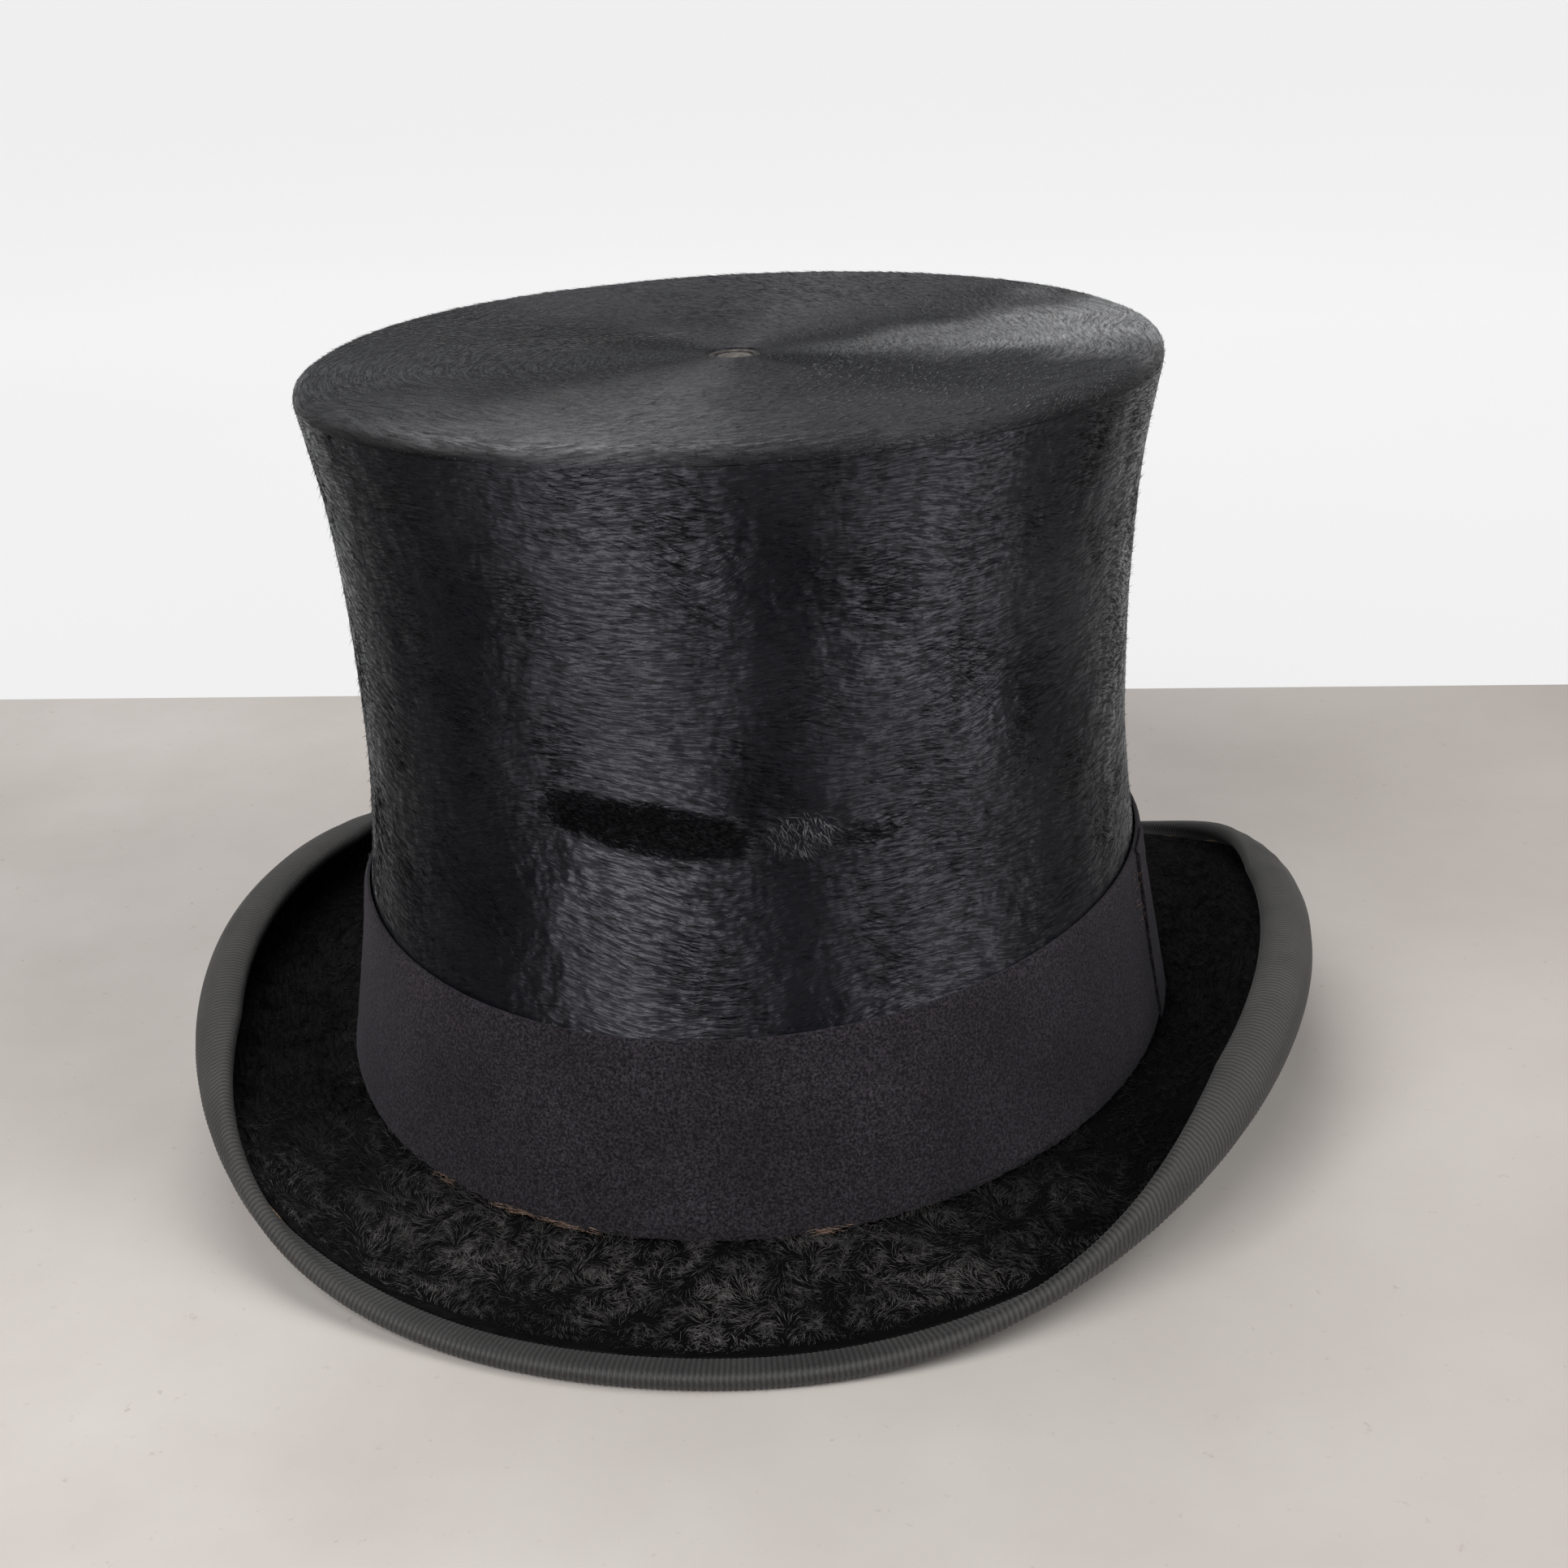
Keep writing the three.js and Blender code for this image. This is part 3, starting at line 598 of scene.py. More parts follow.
def fibre_material(name, dark, light, rough=0.4, gloss=0.5, worn=FADED_BLACK):
    """Single fibres from dark to light, painted lighter where the attribute for wear and painted
    light is 1, and painted black as shade where the painted-shade attribute is 1.
    """
    recipe = new_material(name, Roughness=rough, Specular_IOR_Level=gloss)
    each = recipe.noise(recipe.place(), 900, 2.0)
    patches = recipe.noise(recipe.place(), 60, 2.0)
    shade = recipe.math("MULTIPLY", each, patches)
    tone = recipe.ramp(shade, (0.15, dark), (0.42, light))
    # Painted lighter where the attribute for wear and painted light is 1: painted sheen or
    # highlight, or wear.
    faded = recipe.ramp(shade, (0.15, dark), (0.42, worn))
    tone = recipe.blend(recipe.attribute("worn"), tone, faded)
    # Painted shade: black where the painted-shade attribute is 1.
    recipe.set(Base_Color=recipe.blend(recipe.attribute("sheltered"), tone, PAINTED_SHADE_BLACK))
    return recipe.owner


def wool_material():
    """Matte charcoal wool: fine speckle of fibres over a felted weave."""
    recipe = new_material(
        "wool_band",
        Roughness=0.95,
        Sheen_Weight=0.07,
        Sheen_Roughness=0.6,
        Specular_IOR_Level=0.15,
        Sheen_Tint=(0.55, 0.52, 0.58),
    )
    place = recipe.place()
    speckle = recipe.noise(place, 1900, 3.0, 0.7)
    weave = recipe.noise(recipe.stretched(recipe.cloth(), (1, 1.6, 1)), 900, 2.0)
    cloud = recipe.noise(place, 45, 3.0)
    tone = recipe.ramp(speckle, (0.42, (0.002, 0.0017, 0.0022)), (0.66, (0.032, 0.028, 0.034)))
    faded = recipe.ramp(cloud, (0.35, 0.75), (0.7, 1.25))
    fine = recipe.bump(speckle, 0.12 * MM, 0.8)
    recipe.set(
        Base_Color=recipe.blend(1.0, tone, faded, "MULTIPLY"),
        Normal=recipe.bump(weave, 0.15 * MM, 0.5, fine),
    )
    return recipe.owner


def grosgrain_material():
    """Ribbed ribbon, black where it is kept from wear and wearing to grey on the side rolls; its
    grooves are painted darker as painted shade.
    """
    recipe = new_material(
        "grosgrain",
        Sheen_Weight=0.12,
        Sheen_Roughness=0.5,
        Specular_IOR_Level=0.35,
        Sheen_Tint=(0.66, 0.66, 0.66),
    )
    cloud = recipe.noise(recipe.place(), 70, 4.0, 0.6)
    fine = recipe.noise(recipe.stretched(recipe.cloth(), (3, 1, 1)), 1400, 3.0, 0.7)
    wear = recipe.math("MULTIPLY", recipe.attribute("worn"), cloud)
    share = recipe.ramp(wear, (0.1, 0.0), (0.55, 1.0))
    tone = recipe.blend(share, (0.013, 0.0125, 0.0125), (0.054, 0.051, 0.049))
    speck = recipe.math("MULTIPLY", recipe.ramp(fine, (0.35, 0.0), (0.75, 1.0)), 0.35)
    tone = recipe.blend(speck, tone, (0.10, 0.097, 0.09))
    # The grooves between the ribs are painted darker: painted shade.
    shade = recipe.math("MULTIPLY", recipe.attribute("groove"), 0.85)
    recipe.set(
        Base_Color=recipe.blend(shade, tone, (0.006, 0.006, 0.006)),
        Roughness=recipe.ramp(wear, (0.1, 0.5), (0.5, 0.8)),
        Normal=recipe.bump(fine, 0.06 * MM, 0.6),
    )
    return recipe.owner


def woven_material(name, dark, light, thread=0.35 * MM, rough=0.8):
    """Plain woven cloth: threads both ways, uneven in tone."""
    recipe = new_material(name, Roughness=rough, Sheen_Weight=0.2, Sheen_Tint=(0.6, 0.6, 0.6))
    inputs = {"Vector": recipe.cloth(), "Scale": math.pi / (20 * thread)}
    inputs.update({"Distortion": 0.8, "Detail": 1.0})
    across = recipe.node("TexWave", inputs, bands_direction="X").outputs["Fac"]
    along = recipe.node("TexWave", inputs, bands_direction="Y").outputs["Fac"]
    weave = recipe.math("MULTIPLY", across, along)
    cloud = recipe.noise(recipe.place(), 60, 3.0)
    share = recipe.math("MULTIPLY", recipe.math("ADD", weave, 0.6), cloud)
    recipe.set(
        Base_Color=recipe.ramp(share, (0.2, dark), (0.75, light)),
        Normal=recipe.bump(weave, 0.08 * MM, 0.6),
    )
    return recipe.owner


def satin_material():
    """Cream silk satin, slightly soiled."""
    recipe = new_material(
        "silk_lining",
        Roughness=0.38,
        Anisotropic=0.5,
        Sheen_Weight=0.3,
        IOR=1.5,
        Sheen_Tint=(0.9, 0.86, 0.78),
    )
    thread = recipe.noise(recipe.stretched(recipe.cloth(), (8, 1, 1)), 420, 2.0)
    soil = recipe.noise(recipe.place(), 28, 4.0, 0.6)
    tone = recipe.ramp(soil, (0.3, (0.50, 0.42, 0.30)), (0.62, (0.72, 0.66, 0.54)))
    share = recipe.math("MULTIPLY", thread, 0.25)
    recipe.set(
        Base_Color=recipe.blend(share, tone, (0.42, 0.36, 0.27)),
        Normal=recipe.bump(thread, 0.05 * MM, 0.5),
    )
    return recipe.owner


def leather_material():
    """Brown roan leather, darkened by wear, with a fine pebbled grain."""
    recipe = new_material("sweat_leather", IOR=1.5)
    place = recipe.place()
    grain = recipe.node("TexVoronoi", {"Vector": place, "Scale": 1300}).outputs["Distance"]
    soil = recipe.noise(place, 35, 4.0, 0.6)
    recipe.set(
        Base_Color=recipe.ramp(soil, (0.3, (0.075, 0.032, 0.014)), (0.7, (0.23, 0.11, 0.05))),
        Roughness=recipe.ramp(soil, (0.3, 0.36), (0.7, 0.58)),
        Normal=recipe.bump(grain, 0.12 * MM, 0.5),
    )
    return recipe.owner


def grained_material(name, dark, light, scale, rough, metal=0.0):
    """Grained or tarnished surface with two tones."""
    recipe = new_material(name, Metallic=metal)
    mottle = recipe.noise(recipe.place(), scale, 4.0, 0.65)
    recipe.set(
        Base_Color=recipe.ramp(mottle, (0.3, dark), (0.7, light)),
        Roughness=recipe.ramp(mottle, (0.3, rough + 0.12), (0.7, rough - 0.08)),
        Normal=recipe.bump(mottle, 0.1 * MM, 0.4),
    )
    return recipe.owner


# ---- Crown ---------------------------------------------------------------------------------

SURFACE_DEPTH = 0.3 * MM  # the plush's ground lies this far inside the ends of its pile
TIP_DENTS = 0.10 * MM
MARK_ANGLE = math.radians(-1)
MARK_HALF_ANGLE = math.radians(15)
MARK_HEIGHT = 90 * MM
MARK_DROP = 3.2 * MM
MARK_HALF_HEIGHT = 4.6 * MM
TUFT_ANGLE = math.radians(19)
TUFT_HALF_ANGLE = math.radians(5)
TUFT_HEIGHT = 88 * MM
TUFT_HALF_HEIGHT = 4.5 * MM
WISP_DEGREES = 27
WISP_HEIGHT = 86.5 * MM
# Sectors of the tip painted lighter: painted sheen where its brushed nap would catch the lamps.
SHEEN_RIGHT_DEGREES = 106
SHEEN_FRONT_DEGREES = -14
SHEEN_HALF_DEGREES = 34
SHEEN_FRONT_SHARE = 0.22
MARK_CANDIDATES = 16000  # roots tried for the mark, most of which fall outside it
TIP_FIBRES = 52000
UPRIGHT_FROM = -60  # degrees, towards the wearer's right, where the nap starts to stand up
UPRIGHT_TO = -85
CURVE_RADIUS = 85 * MM  # straight fibres end this curve's rise above the crown
LOOSE_SHARE = 0.05


def nap_gap(angle, height):
    """How far the nap is pushed the wrong way, from 0 to 1: one long mark on the front."""
    across = (angle - MARK_ANGLE) / MARK_HALF_ANGLE
    middle = MARK_HEIGHT - MARK_DROP * across
    belly = np.sqrt(np.maximum(0.02, 1 - np.minimum(1, np.abs(across)) ** 2))
    up = (height - middle) / (MARK_HALF_HEIGHT * belly)
    return smooth_step(1.5, 0.6, np.abs(up)) * smooth_step(1, 0.7, np.abs(across))


def ruffled(angle, height):
    """How far the nap stands in tufts, from 0 to 1: a small patch at the mark's end."""
    sideways = ((angle - TUFT_ANGLE) / TUFT_HALF_ANGLE) ** 2
    upwards = ((height - TUFT_HEIGHT) / TUFT_HALF_HEIGHT) ** 2
    return smooth_step(1.3, 0.4, sideways + upwards)


def make_side_plush(material):
    angles = turns_round(640)
    low = standing_height(angles, 0, PLUSH, BRIM_PLUSH_TOP)
    heights = mix(low, TIP_EDGE_FOOT, row(0, 1, 110))
    place = crown_point(angles, heights, 0.0)
    dents = 0.07 * MM * lumps(place, 11 * MM, 11) + 0.03 * MM * lumps(place, 3 * MM, 12)
    pushed = nap_gap(angles, heights)
    outer = side_surface(angles, heights, SURFACE_DEPTH - dents + 0.35 * MM * pushed)
    inner = crown_point(angles, mix(low, TIP_EDGE_FOOT, row(1, 0, 12)), PLUSH)
    obj = ring("side_plush_cloth", np.concatenate([outer, inner], axis=1))
    # The mark's values lean the nap's normal and paint its colour black as painted shade.
    point_values(obj, rubbed=np.concatenate([pushed, 0 * inner[..., 0]], axis=1))
    return finish_piece(obj, material, "crown_plush", "side_plush")


def tip_surface(angles, depth, dents):
    """Rows of points from the foot of the tip's rounded edge in to the ventilator's hole."""
    edge = tip_edge_point(angles, row(0, QUARTER, 14), depth)
    hole = vent_high.x + CLEARANCE
    shares = row(1, hole / (TIP_HALF_WIDTH - TIP_EDGE_RADIUS), 60)[:, 1:]
    disc = tip_point(angles, shares, depth)
    inwards = (shares - 1) / (shares[:, -1:] - 1)
    reach = np.hypot(disc[..., 0], disc[..., 1])
    circle = mix(reach, hole, smooth_step(0.75, 1, inwards))
    disc[..., 0] = mix(disc[..., 0], np.sin(angles) * circle, inwards)
    disc[..., 1] = mix(disc[..., 1], -np.cos(angles) * circle, inwards)
    points = np.concatenate([edge, disc], axis=1)
    points[..., 2] += dents * lumps(points, 30 * MM, 21)
    return points


def tip_painted_sheen(points):
    """How much painted sheen the tip gets, from 0 to 1: a wide lighter sector on its right and a
    weak one in front.
    """
    angle = np.degrees(np.arctan2(points[..., 0], -points[..., 1]))
    reach = np.hypot(points[..., 0], points[..., 1]) / TIP_HALF_WIDTH
    ragged = angle + 5 * lumps(points, 14 * MM, 43)
    right = np.abs(ragged - SHEEN_RIGHT_DEGREES)
    front = np.abs(ragged - SHEEN_FRONT_DEGREES)
    right = smooth_step(SHEEN_HALF_DEGREES, 8, right) * smooth_step(0.06, 0.4, reach)
    front = smooth_step(SHEEN_HALF_DEGREES, 6, front) * smooth_step(0.1, 0.5, reach)
    return right + SHEEN_FRONT_SHARE * front


def make_tip_plush(material):
    angles = turns_round(480)
    top = tip_surface(angles, SURFACE_DEPTH, TIP_DENTS)
    under = tip_surface(angles, PLUSH, 0)[:, ::-1][:, ::4]
    points = np.concatenate([top, under], axis=1)
    obj = ring("tip_plush_cloth", points)
    # The rounded edge is painted black towards the side as painted shade, and the tip's sectors are
    # painted lighter as painted sheen.
    rim = smooth_step(0.85 * TIP_EDGE_RADIUS, 0, points[..., 2] - TIP_EDGE_FOOT)
    point_values(obj, worn=tip_painted_sheen(points), sheltered=rim)
    return finish_piece(obj, material, "tip_plush", "tip_plush")


def crown_ways(angle, height):
    """Unit vectors round the crown, up its side and out of it."""
    ahead = crown_point(angle + SMALL_ANGLE, height, 0.0)
    round_way = unit(ahead - crown_point(angle - SMALL_ANGLE, height, 0.0))
    up_way = unit(crown_point(angle, height + MM, 0.0) - crown_point(angle, height - MM, 0.0))
    return round_way, up_way, np.cross(round_way, up_way)


def crown_nap(name, count, angle_low, angle_high, seed, material):
    """Fibres of the crown's side, brushed round it, and more upright at the wearer's right."""
    random = np.random.default_rng(seed)
    angle = random.uniform(angle_low, angle_high, count)
    low = standing_height(angle, 0, PLUSH, BRIM_PLUSH_TOP) + 30 * MM
    height = mix(low, TIP_EDGE_FOOT, random.uniform(0, 1, count))
    root = side_surface(angle, height, SURFACE_DEPTH + 0.1 * MM)
    round_way, up_way, out_way = crown_ways(angle, height)
    tilt = math.radians(-6) + 0.22 * lumps(root, 14 * MM, 31) + random.normal(0, 0.14, count)
    tilt = tilt - math.radians(45) * smooth_step(UPRIGHT_FROM, UPRIGHT_TO, np.degrees(angle))
    tuft = ruffled(angle, height)
    tilt = mix(tilt, random.normal(-1.3, 0.5, count), tuft)
    length = random.uniform(1.8, 4.2, count) * MM
    lift = random.uniform(0.15, 0.6, count) ** 1.5 * MM + length**2 / (2 * CURVE_RADIUS)
    loose = random.uniform(0, 1, count) < LOOSE_SHARE
    lift = lift + loose * random.uniform(0.5, 2.0, count) * MM + tuft * length * 0.8
    pushed = nap_gap(angle, height) * (1 - tuft)
    hidden = pushed > random.uniform(0.3, 1.3, count)
    length = np.where(hidden, 0.4 * MM, length)[:, None]
    end = root + laid(round_way, up_way, tilt) * length + out_way * (lift * 0.5)[:, None]
    width = random.uniform(0.03, 0.1, count) * MM
    # The tuft's fibres are painted lighter as a painted highlight, and the fibres in the mark are
    # painted black as painted shade.
    obj = spikes(name, root, end, width, worn=tuft, sheltered=pushed)
    return finish_piece(obj, material, "crown_plush")


def mark_nap(material):
    """The mark's own fibres, lying the wrong way, with a few dark wisps past its right end."""
    random = np.random.default_rng(37)
    count = MARK_CANDIDATES
    degrees = random.uniform(-17, 36, count)
    height = random.uniform(80, 98, count) * MM
    wisps = smooth_step(9, 2, np.abs(degrees - WISP_DEGREES))
    wisps = wisps * smooth_step(4 * MM, 1 * MM, np.abs(height - WISP_HEIGHT))
    share = np.maximum(nap_gap(np.radians(degrees), height), 0.5 * wisps)
    kept = share > random.uniform(0.3, 1.5, count)
    angle = np.radians(degrees[kept])
    height = height[kept]
    count = len(angle)
    root = side_surface(angle, height, SURFACE_DEPTH + 0.05 * MM)
    round_way, up_way, out_way = crown_ways(angle, height)
    way = laid(round_way, up_way, random.normal(-0.15, 0.3, count))
    length = (random.uniform(1.4, 3.4, count) * MM)[:, None]
    lift = (random.uniform(0.12, 0.3, count) * MM)[:, None]
    end = root + way * length + out_way * lift
    obj = spikes("mark_nap", root, end, random.uniform(0.08, 0.16, count) * MM)
    return finish_piece(obj, material, "crown_plush")


def tip_nap(material):
    """Fibres of the tip, swirled round the ventilator, and along its rounded edge."""
    random = np.random.default_rng(41)
    count = TIP_FIBRES
    angle = random.uniform(-math.pi, math.pi, count)
    share = np.sqrt(random.uniform(0.07**2, 1.16, count))
    on_edge = share > 1
    root = tip_point(angle, np.minimum(share, 1), SURFACE_DEPTH + 0.15 * MM)
    turn = QUARTER * random.uniform(0, 1, count)
    edge_root = tip_edge_point(angle, turn, SURFACE_DEPTH + 0.15 * MM)
    root = np.where(on_edge[:, None], edge_root, root)
    root[:, 2] += TIP_DENTS * lumps(root, 30 * MM, 21)
    outward, round_way = level_ways(root)
    rise = np.where(on_edge, turn, QUARTER)
    out_way = laid(outward, np.array([0, 0, 1]), rise)
    across = np.cross(out_way, round_way)
    tilt = 0.1 + 0.22 * lumps(root, 26 * MM, 42) + random.normal(0, 0.16, count)
    tilt = mix(tilt, -1.1, smooth_step(0.095, 0.075, share))
    length = (random.uniform(1.5, 3.6, count) * MM)[:, None]
    lift = (random.uniform(0.15, 0.62, count) * MM)[:, None]
    end = root + laid(round_way, -across, tilt) * length + out_way * lift
    width = random.uniform(0.03, 0.09, count) * MM
    # The rounded edge's fibres are painted black towards the side as painted shade, and the tip's
    # sectors are painted lighter as painted sheen.
    rim = smooth_step(0.9, 0.1, turn / QUARTER) * on_edge
    obj = spikes("tip_nap", root, end, width, worn=tip_painted_sheen(root), sheltered=rim)
    return finish_piece(obj, material, "tip_plush")


# ---- Brim ----------------------------------------------------------------------------------

RIB_PITCH = 1.05 * MM
RIB_HEIGHT = 0.22 * MM
RIB_STEPS = 4


def make_brim_plush(material):
    angles = turns_round(560)
    shares = row(0, 1, 46)
    distances = mix(RIBBON_OVER - 0.1 * MM, brim_length(angles) - PLUSH_SETBACK, shares)
    middle = brim_point(angles, distances, SKIN_OFFSET)
    pile = 0.40 * lumps(middle, 5 * MM, 51) + 0.28 * lumps(middle, 2.2 * MM, 52)
    edge = smooth_step(0, 0.05, shares) * smooth_step(0, 0.05, 1 - shares)
    thick = BRIM_PLUSH * (0.72 + 0.25 * np.clip(pile, -1, 1) * edge)
    over = brim_point(angles, distances, SKIN_OFFSET + thick)
    under = brim_point(angles, distances[:, ::-3], SKIN_OFFSET)
    obj = ring("brim_plush_cloth", np.concatenate([under, over], axis=1))
    return finish_piece(obj, material, "brim_plush", "brim_plush")


def brim_pile(name, count, angle_low, angle_high, seed, material):
    """Long tousled fibres of the brim's upper side, in clumps that stand up against the band."""
    random = np.random.default_rng(seed)
    angle = random.uniform(angle_low, angle_high, count)
    share = random.uniform(0, 1, count)
    distance = mix(PLUSH_START + 0.5 * MM, brim_length(angle) - PLUSH_SETBACK, share)
    point, outwards, normal = brim_frame(angle, distance)
    root = point + normal * (SKIN_OFFSET + 0.45 * BRIM_PLUSH)
    clump = 2.2 * lumps(root, 7 * MM, 61) + 1.3 * lumps(root, 3 * MM, 62)
    way = laid(np.cross(outwards, normal), outwards, clump + random.normal(0, 0.35, count))
    length = random.uniform(2.0, 4.8, count) * MM
    lift = random.uniform(0.5, 1.5, count) * MM
    at_band = smooth_step(0.86, 0.98, share) * np.clip(0.6 + lumps(root, 16 * MM, 63), 0, 1.3)
    lift = (lift * (1 + 1.7 * at_band))[:, None]
    length = (length * (0.35 + 0.65 * smooth_step(0.0, 0.22, share)))[:, None]
    bend = root + way * 0.45 * length + normal * 0.75 * lift
    end = root + way * length + normal * lift
    width = random.uniform(0.03, 0.075, count) * MM
    # The pile is painted lighter towards the front as painted light, and lighter along the band's
    # foot at the left.
    front = smooth_step(0.45, 0.9, -root[:, 1] / CURL_HALF_LENGTH)
    ridge = at_band * smooth_step(0.2, 0.6, -root[:, 0] / CURL_HALF_WIDTH)
    obj = spikes(name, root, end, width, bend, worn=np.maximum(front, 0.6 * ridge))
    return finish_piece(obj, material, "brim_plush")


def make_binding(material):
    """Ribbed ribbon folded over the brim's edge."""
    fine, lengths = edge_walk()
    ribs = round(lengths[-1] / RIB_PITCH)
    steps = np.arange(ribs * RIB_STEPS)
    angles = np.interp(steps * lengths[-1] / len(steps), lengths, fine)[:, None]
    phase = FULL_TURN * steps[:, None] / RIB_STEPS
    raised = RIBBON * 0.9 - RIB_HEIGHT * 0.5 * np.cos(phase)
    outer = SKIN_OFFSET + raised
    edge_turns = row(-QUARTER, QUARTER, 9)[:, 1:-1]
    under = row(RIBBON_UNDER, 0, 9)
    over = row(0, RIBBON_OVER, 4)
    thinning = np.array([[1, 1, 0.97, 0.6]])
    outlines = [
        brim_point(angles, under, -outer),
        brim_edge_point(angles, outer, edge_turns),
        brim_point(angles, over, SKIN_OFFSET + raised * thinning),
        brim_point(angles, over[:, ::-1], SKIN_OFFSET),
        brim_edge_point(angles, SKIN_OFFSET, edge_turns[:, ::-2]),
        brim_point(angles, under[:, ::-4], -SKIN_OFFSET),
    ]
    points = np.concatenate(outlines, axis=1)
    obj = ring("brim_binding_ribbon", points, sharp=70)
    worn = 0.35 + 0.65 * sideways_past_rest(angles, 1.5) + 0 * points[..., 2]
    # Groove values paint the rib grooves darker as painted shade.
    groove = 0.5 + 0.5 * np.cos(phase) + 0 * points[..., 2]
    point_values(obj, worn=worn, groove=groove)
    return finish_piece(obj, material, "grosgrain", "brim_binding")


def make_underbrim(material):
    angles = turns_round(320)
    distances = mix(RIBBON_UNDER + CLEARANCE, brim_length(angles), row(0, 1, 16))
    wrinkle = 0.08 * MM * lumps(brim_point(angles, distances, -BINDING_OFFSET), 8 * MM, 71)
    under = brim_point(angles, distances, wrinkle + 0.1 * MM - BINDING_OFFSET)
    over = brim_point(angles, distances[:, ::-3], -SKIN_OFFSET)
    obj = ring("underbrim_merino", np.concatenate([under, over], axis=1)[:, ::-1])
    return finish_piece(obj, material, "merino", "underbrim_cloth")


# ---- Band ----------------------------------------------------------------------------------

FUZZ_FIBRES = 30000
FRAYED_SPOTS = (  # from and to in degrees, number of threads, height as a share of the band's
    (-32, -29, 26, 0),
    (-21, -8, 90, 0),
    (18, 22, 30, 0),
    (80, 84.5, 26, 0.93),
)


def band_edges(angle, inner_depth, thickness):
    low = standing_height(angle, inner_depth - thickness, inner_depth, BRIM_PLUSH_TOP)
    share = np.abs(np.sin(angle)) ** BREAK_POWER
    return low, low + mix(BAND_HEIGHT_FRONT, BAND_HEIGHT_SIDE, share)


def band_points(angles, inner_depth, thickness, seed):
    low, high = band_edges(angles, inner_depth, thickness)
    shares = row(0, 1, 34)
    heights = mix(low, high, shares)
    middle = crown_point(angles, heights, 0.0)
    wave = 0.10 * MM * lumps(middle, 16 * MM, seed) + 0.03 * MM * lumps(middle, 2 * MM, seed + 1)
    edge = 1 - 0.55 * smooth_step(0.965, 1.0, shares) - 0.45 * smooth_step(0.03, 0.0, shares)
    ragged = 0.16 * MM * lumps(middle, 1.2 * MM, seed + 2)
    heights = heights + ragged * (shares < 0.01) + 0.5 * ragged * (shares > 0.99)
    outer = crown_point(angles, heights, inner_depth - (thickness - 0.15 * MM + wave) * edge)
    inner = crown_point(angles, mix(low, high, row(1, 0, 8)), inner_depth)
    return np.concatenate([outer, inner], axis=1)


def make_band(material):
    obj = ring("hat_band_cloth", band_points(turns_round(720), -CLEARANCE, BAND, 81))
    finish_piece(obj, material, "wool_band", "hat_band")
    angles = row(BAND_END_FROM, BAND_END_TO, 24).T
    depth = 0.1 * MM - BAND - CLEARANCE
    end = ring("hat_band_end_cloth", band_points(angles, depth, BAND_END, 91), wrapped=False)
    finish_piece(end, material, "wool_band", "hat_band_end")
    return obj, end


def band_fuzz(material):
    """Short wool fibres that stand off the band."""
    random = np.random.default_rng(95)
    count = FUZZ_FIBRES
    angle = random.uniform(-math.pi, math.pi, count)
    height = mix(*band_edges(angle, -CLEARANCE, BAND), random.uniform(0.0, 1, count))
    root = crown_point(angle, height, 0.3 * MM - CLEARANCE - BAND)
    outward = level_ways(root)[0]
    way = random.normal(size=(count, 3))
    way = unit(way - outward * (way * outward).sum(axis=1)[:, None] * 0.75 + outward * 0.25)
    end = root + way * (random.uniform(0.25, 0.9, count) * MM)[:, None]
    obj = spikes("hat_band_fuzz", root, end, random.uniform(0.012, 0.03, count) * MM)
    return finish_piece(obj, material, "wool_band")


def frayed_threads(material):
    """Loose threads at the band's worn spots."""
    random = np.random.default_rng(96)
    threads = []
    for first, last, count, rise in FRAYED_SPOTS:
        angle = np.radians(random.uniform(first, last, count))
        low, high = band_edges(angle, -CLEARANCE, BAND)
        height = mix(low, high, rise * random.uniform(0.6, 1, count))
        height = height + random.uniform(-0.1, 1.0, count) * MM
        root = crown_point(angle, height, 0.1 * MM - CLEARANCE - BAND)
        outward, round_way = level_ways(root)
        side = np.sign(random.normal(size=count)) * random.uniform(0.4, 1, count)
        length = (random.uniform(0.8, 3.2, count) * MM)[:, None]
        way = unit(round_way * side[:, None] + outward * 0.16 + [0, 0, 0.05])
        bend = root + way * length * 0.5 + outward * 0.15 * MM
        end = root + way * length + random.normal(0, 0.3 * MM, (count, 3))
        threads.append(np.stack([root, bend, end]))
    root, bend, end = np.concatenate(threads, axis=1)
    obj = spikes("frayed_threads", root, end, random.uniform(0.04, 0.07, len(root)) * MM, bend)
    return finish_piece(obj, material, "wool_band")


# ---- Inside --------------------------------------------------------------------------------

STITCHES = 190
STITCH_HEIGHT = 2.2 * MM
STITCH_RADIUS = 0.2 * MM
GROOVE_DEPTH = 0.22 * MM
GROOVE_DROP = 2.2 * MM
GROOVE_HALF_WIDTH = 0.45 * MM
PLEATS = 88
PLEAT_DEPTH = 0.22 * MM
REED_RADIUS = 0.8 * MM
TIP_LINING_HOLE = 4.8 * MM
STITCH_HALF_ANGLE = 0.9 / 85
BOW_LOOP_HALF_WIDTHS = np.array([1.5, 2.3, 3.0, 3.4, 3.3, 2.4]) * MM
BOW_LOOP_PUFFS = np.array([0.3, 0.55, 0.68, 0.65, 0.5, 0.18]) * MM
BOW_TAIL_HALF_WIDTHS = np.array([1.1, 1.6, 1.9, 2.0]) * MM
BOW_TAIL_PUFFS = np.full(4, 0.2 * MM)
BOW_KNOT_HALF_WIDTHS = np.array([2.2, 2.4, 2.2]) * MM
BOW_KNOT_PUFFS = np.array([0.45, 0.7, 0.45]) * MM


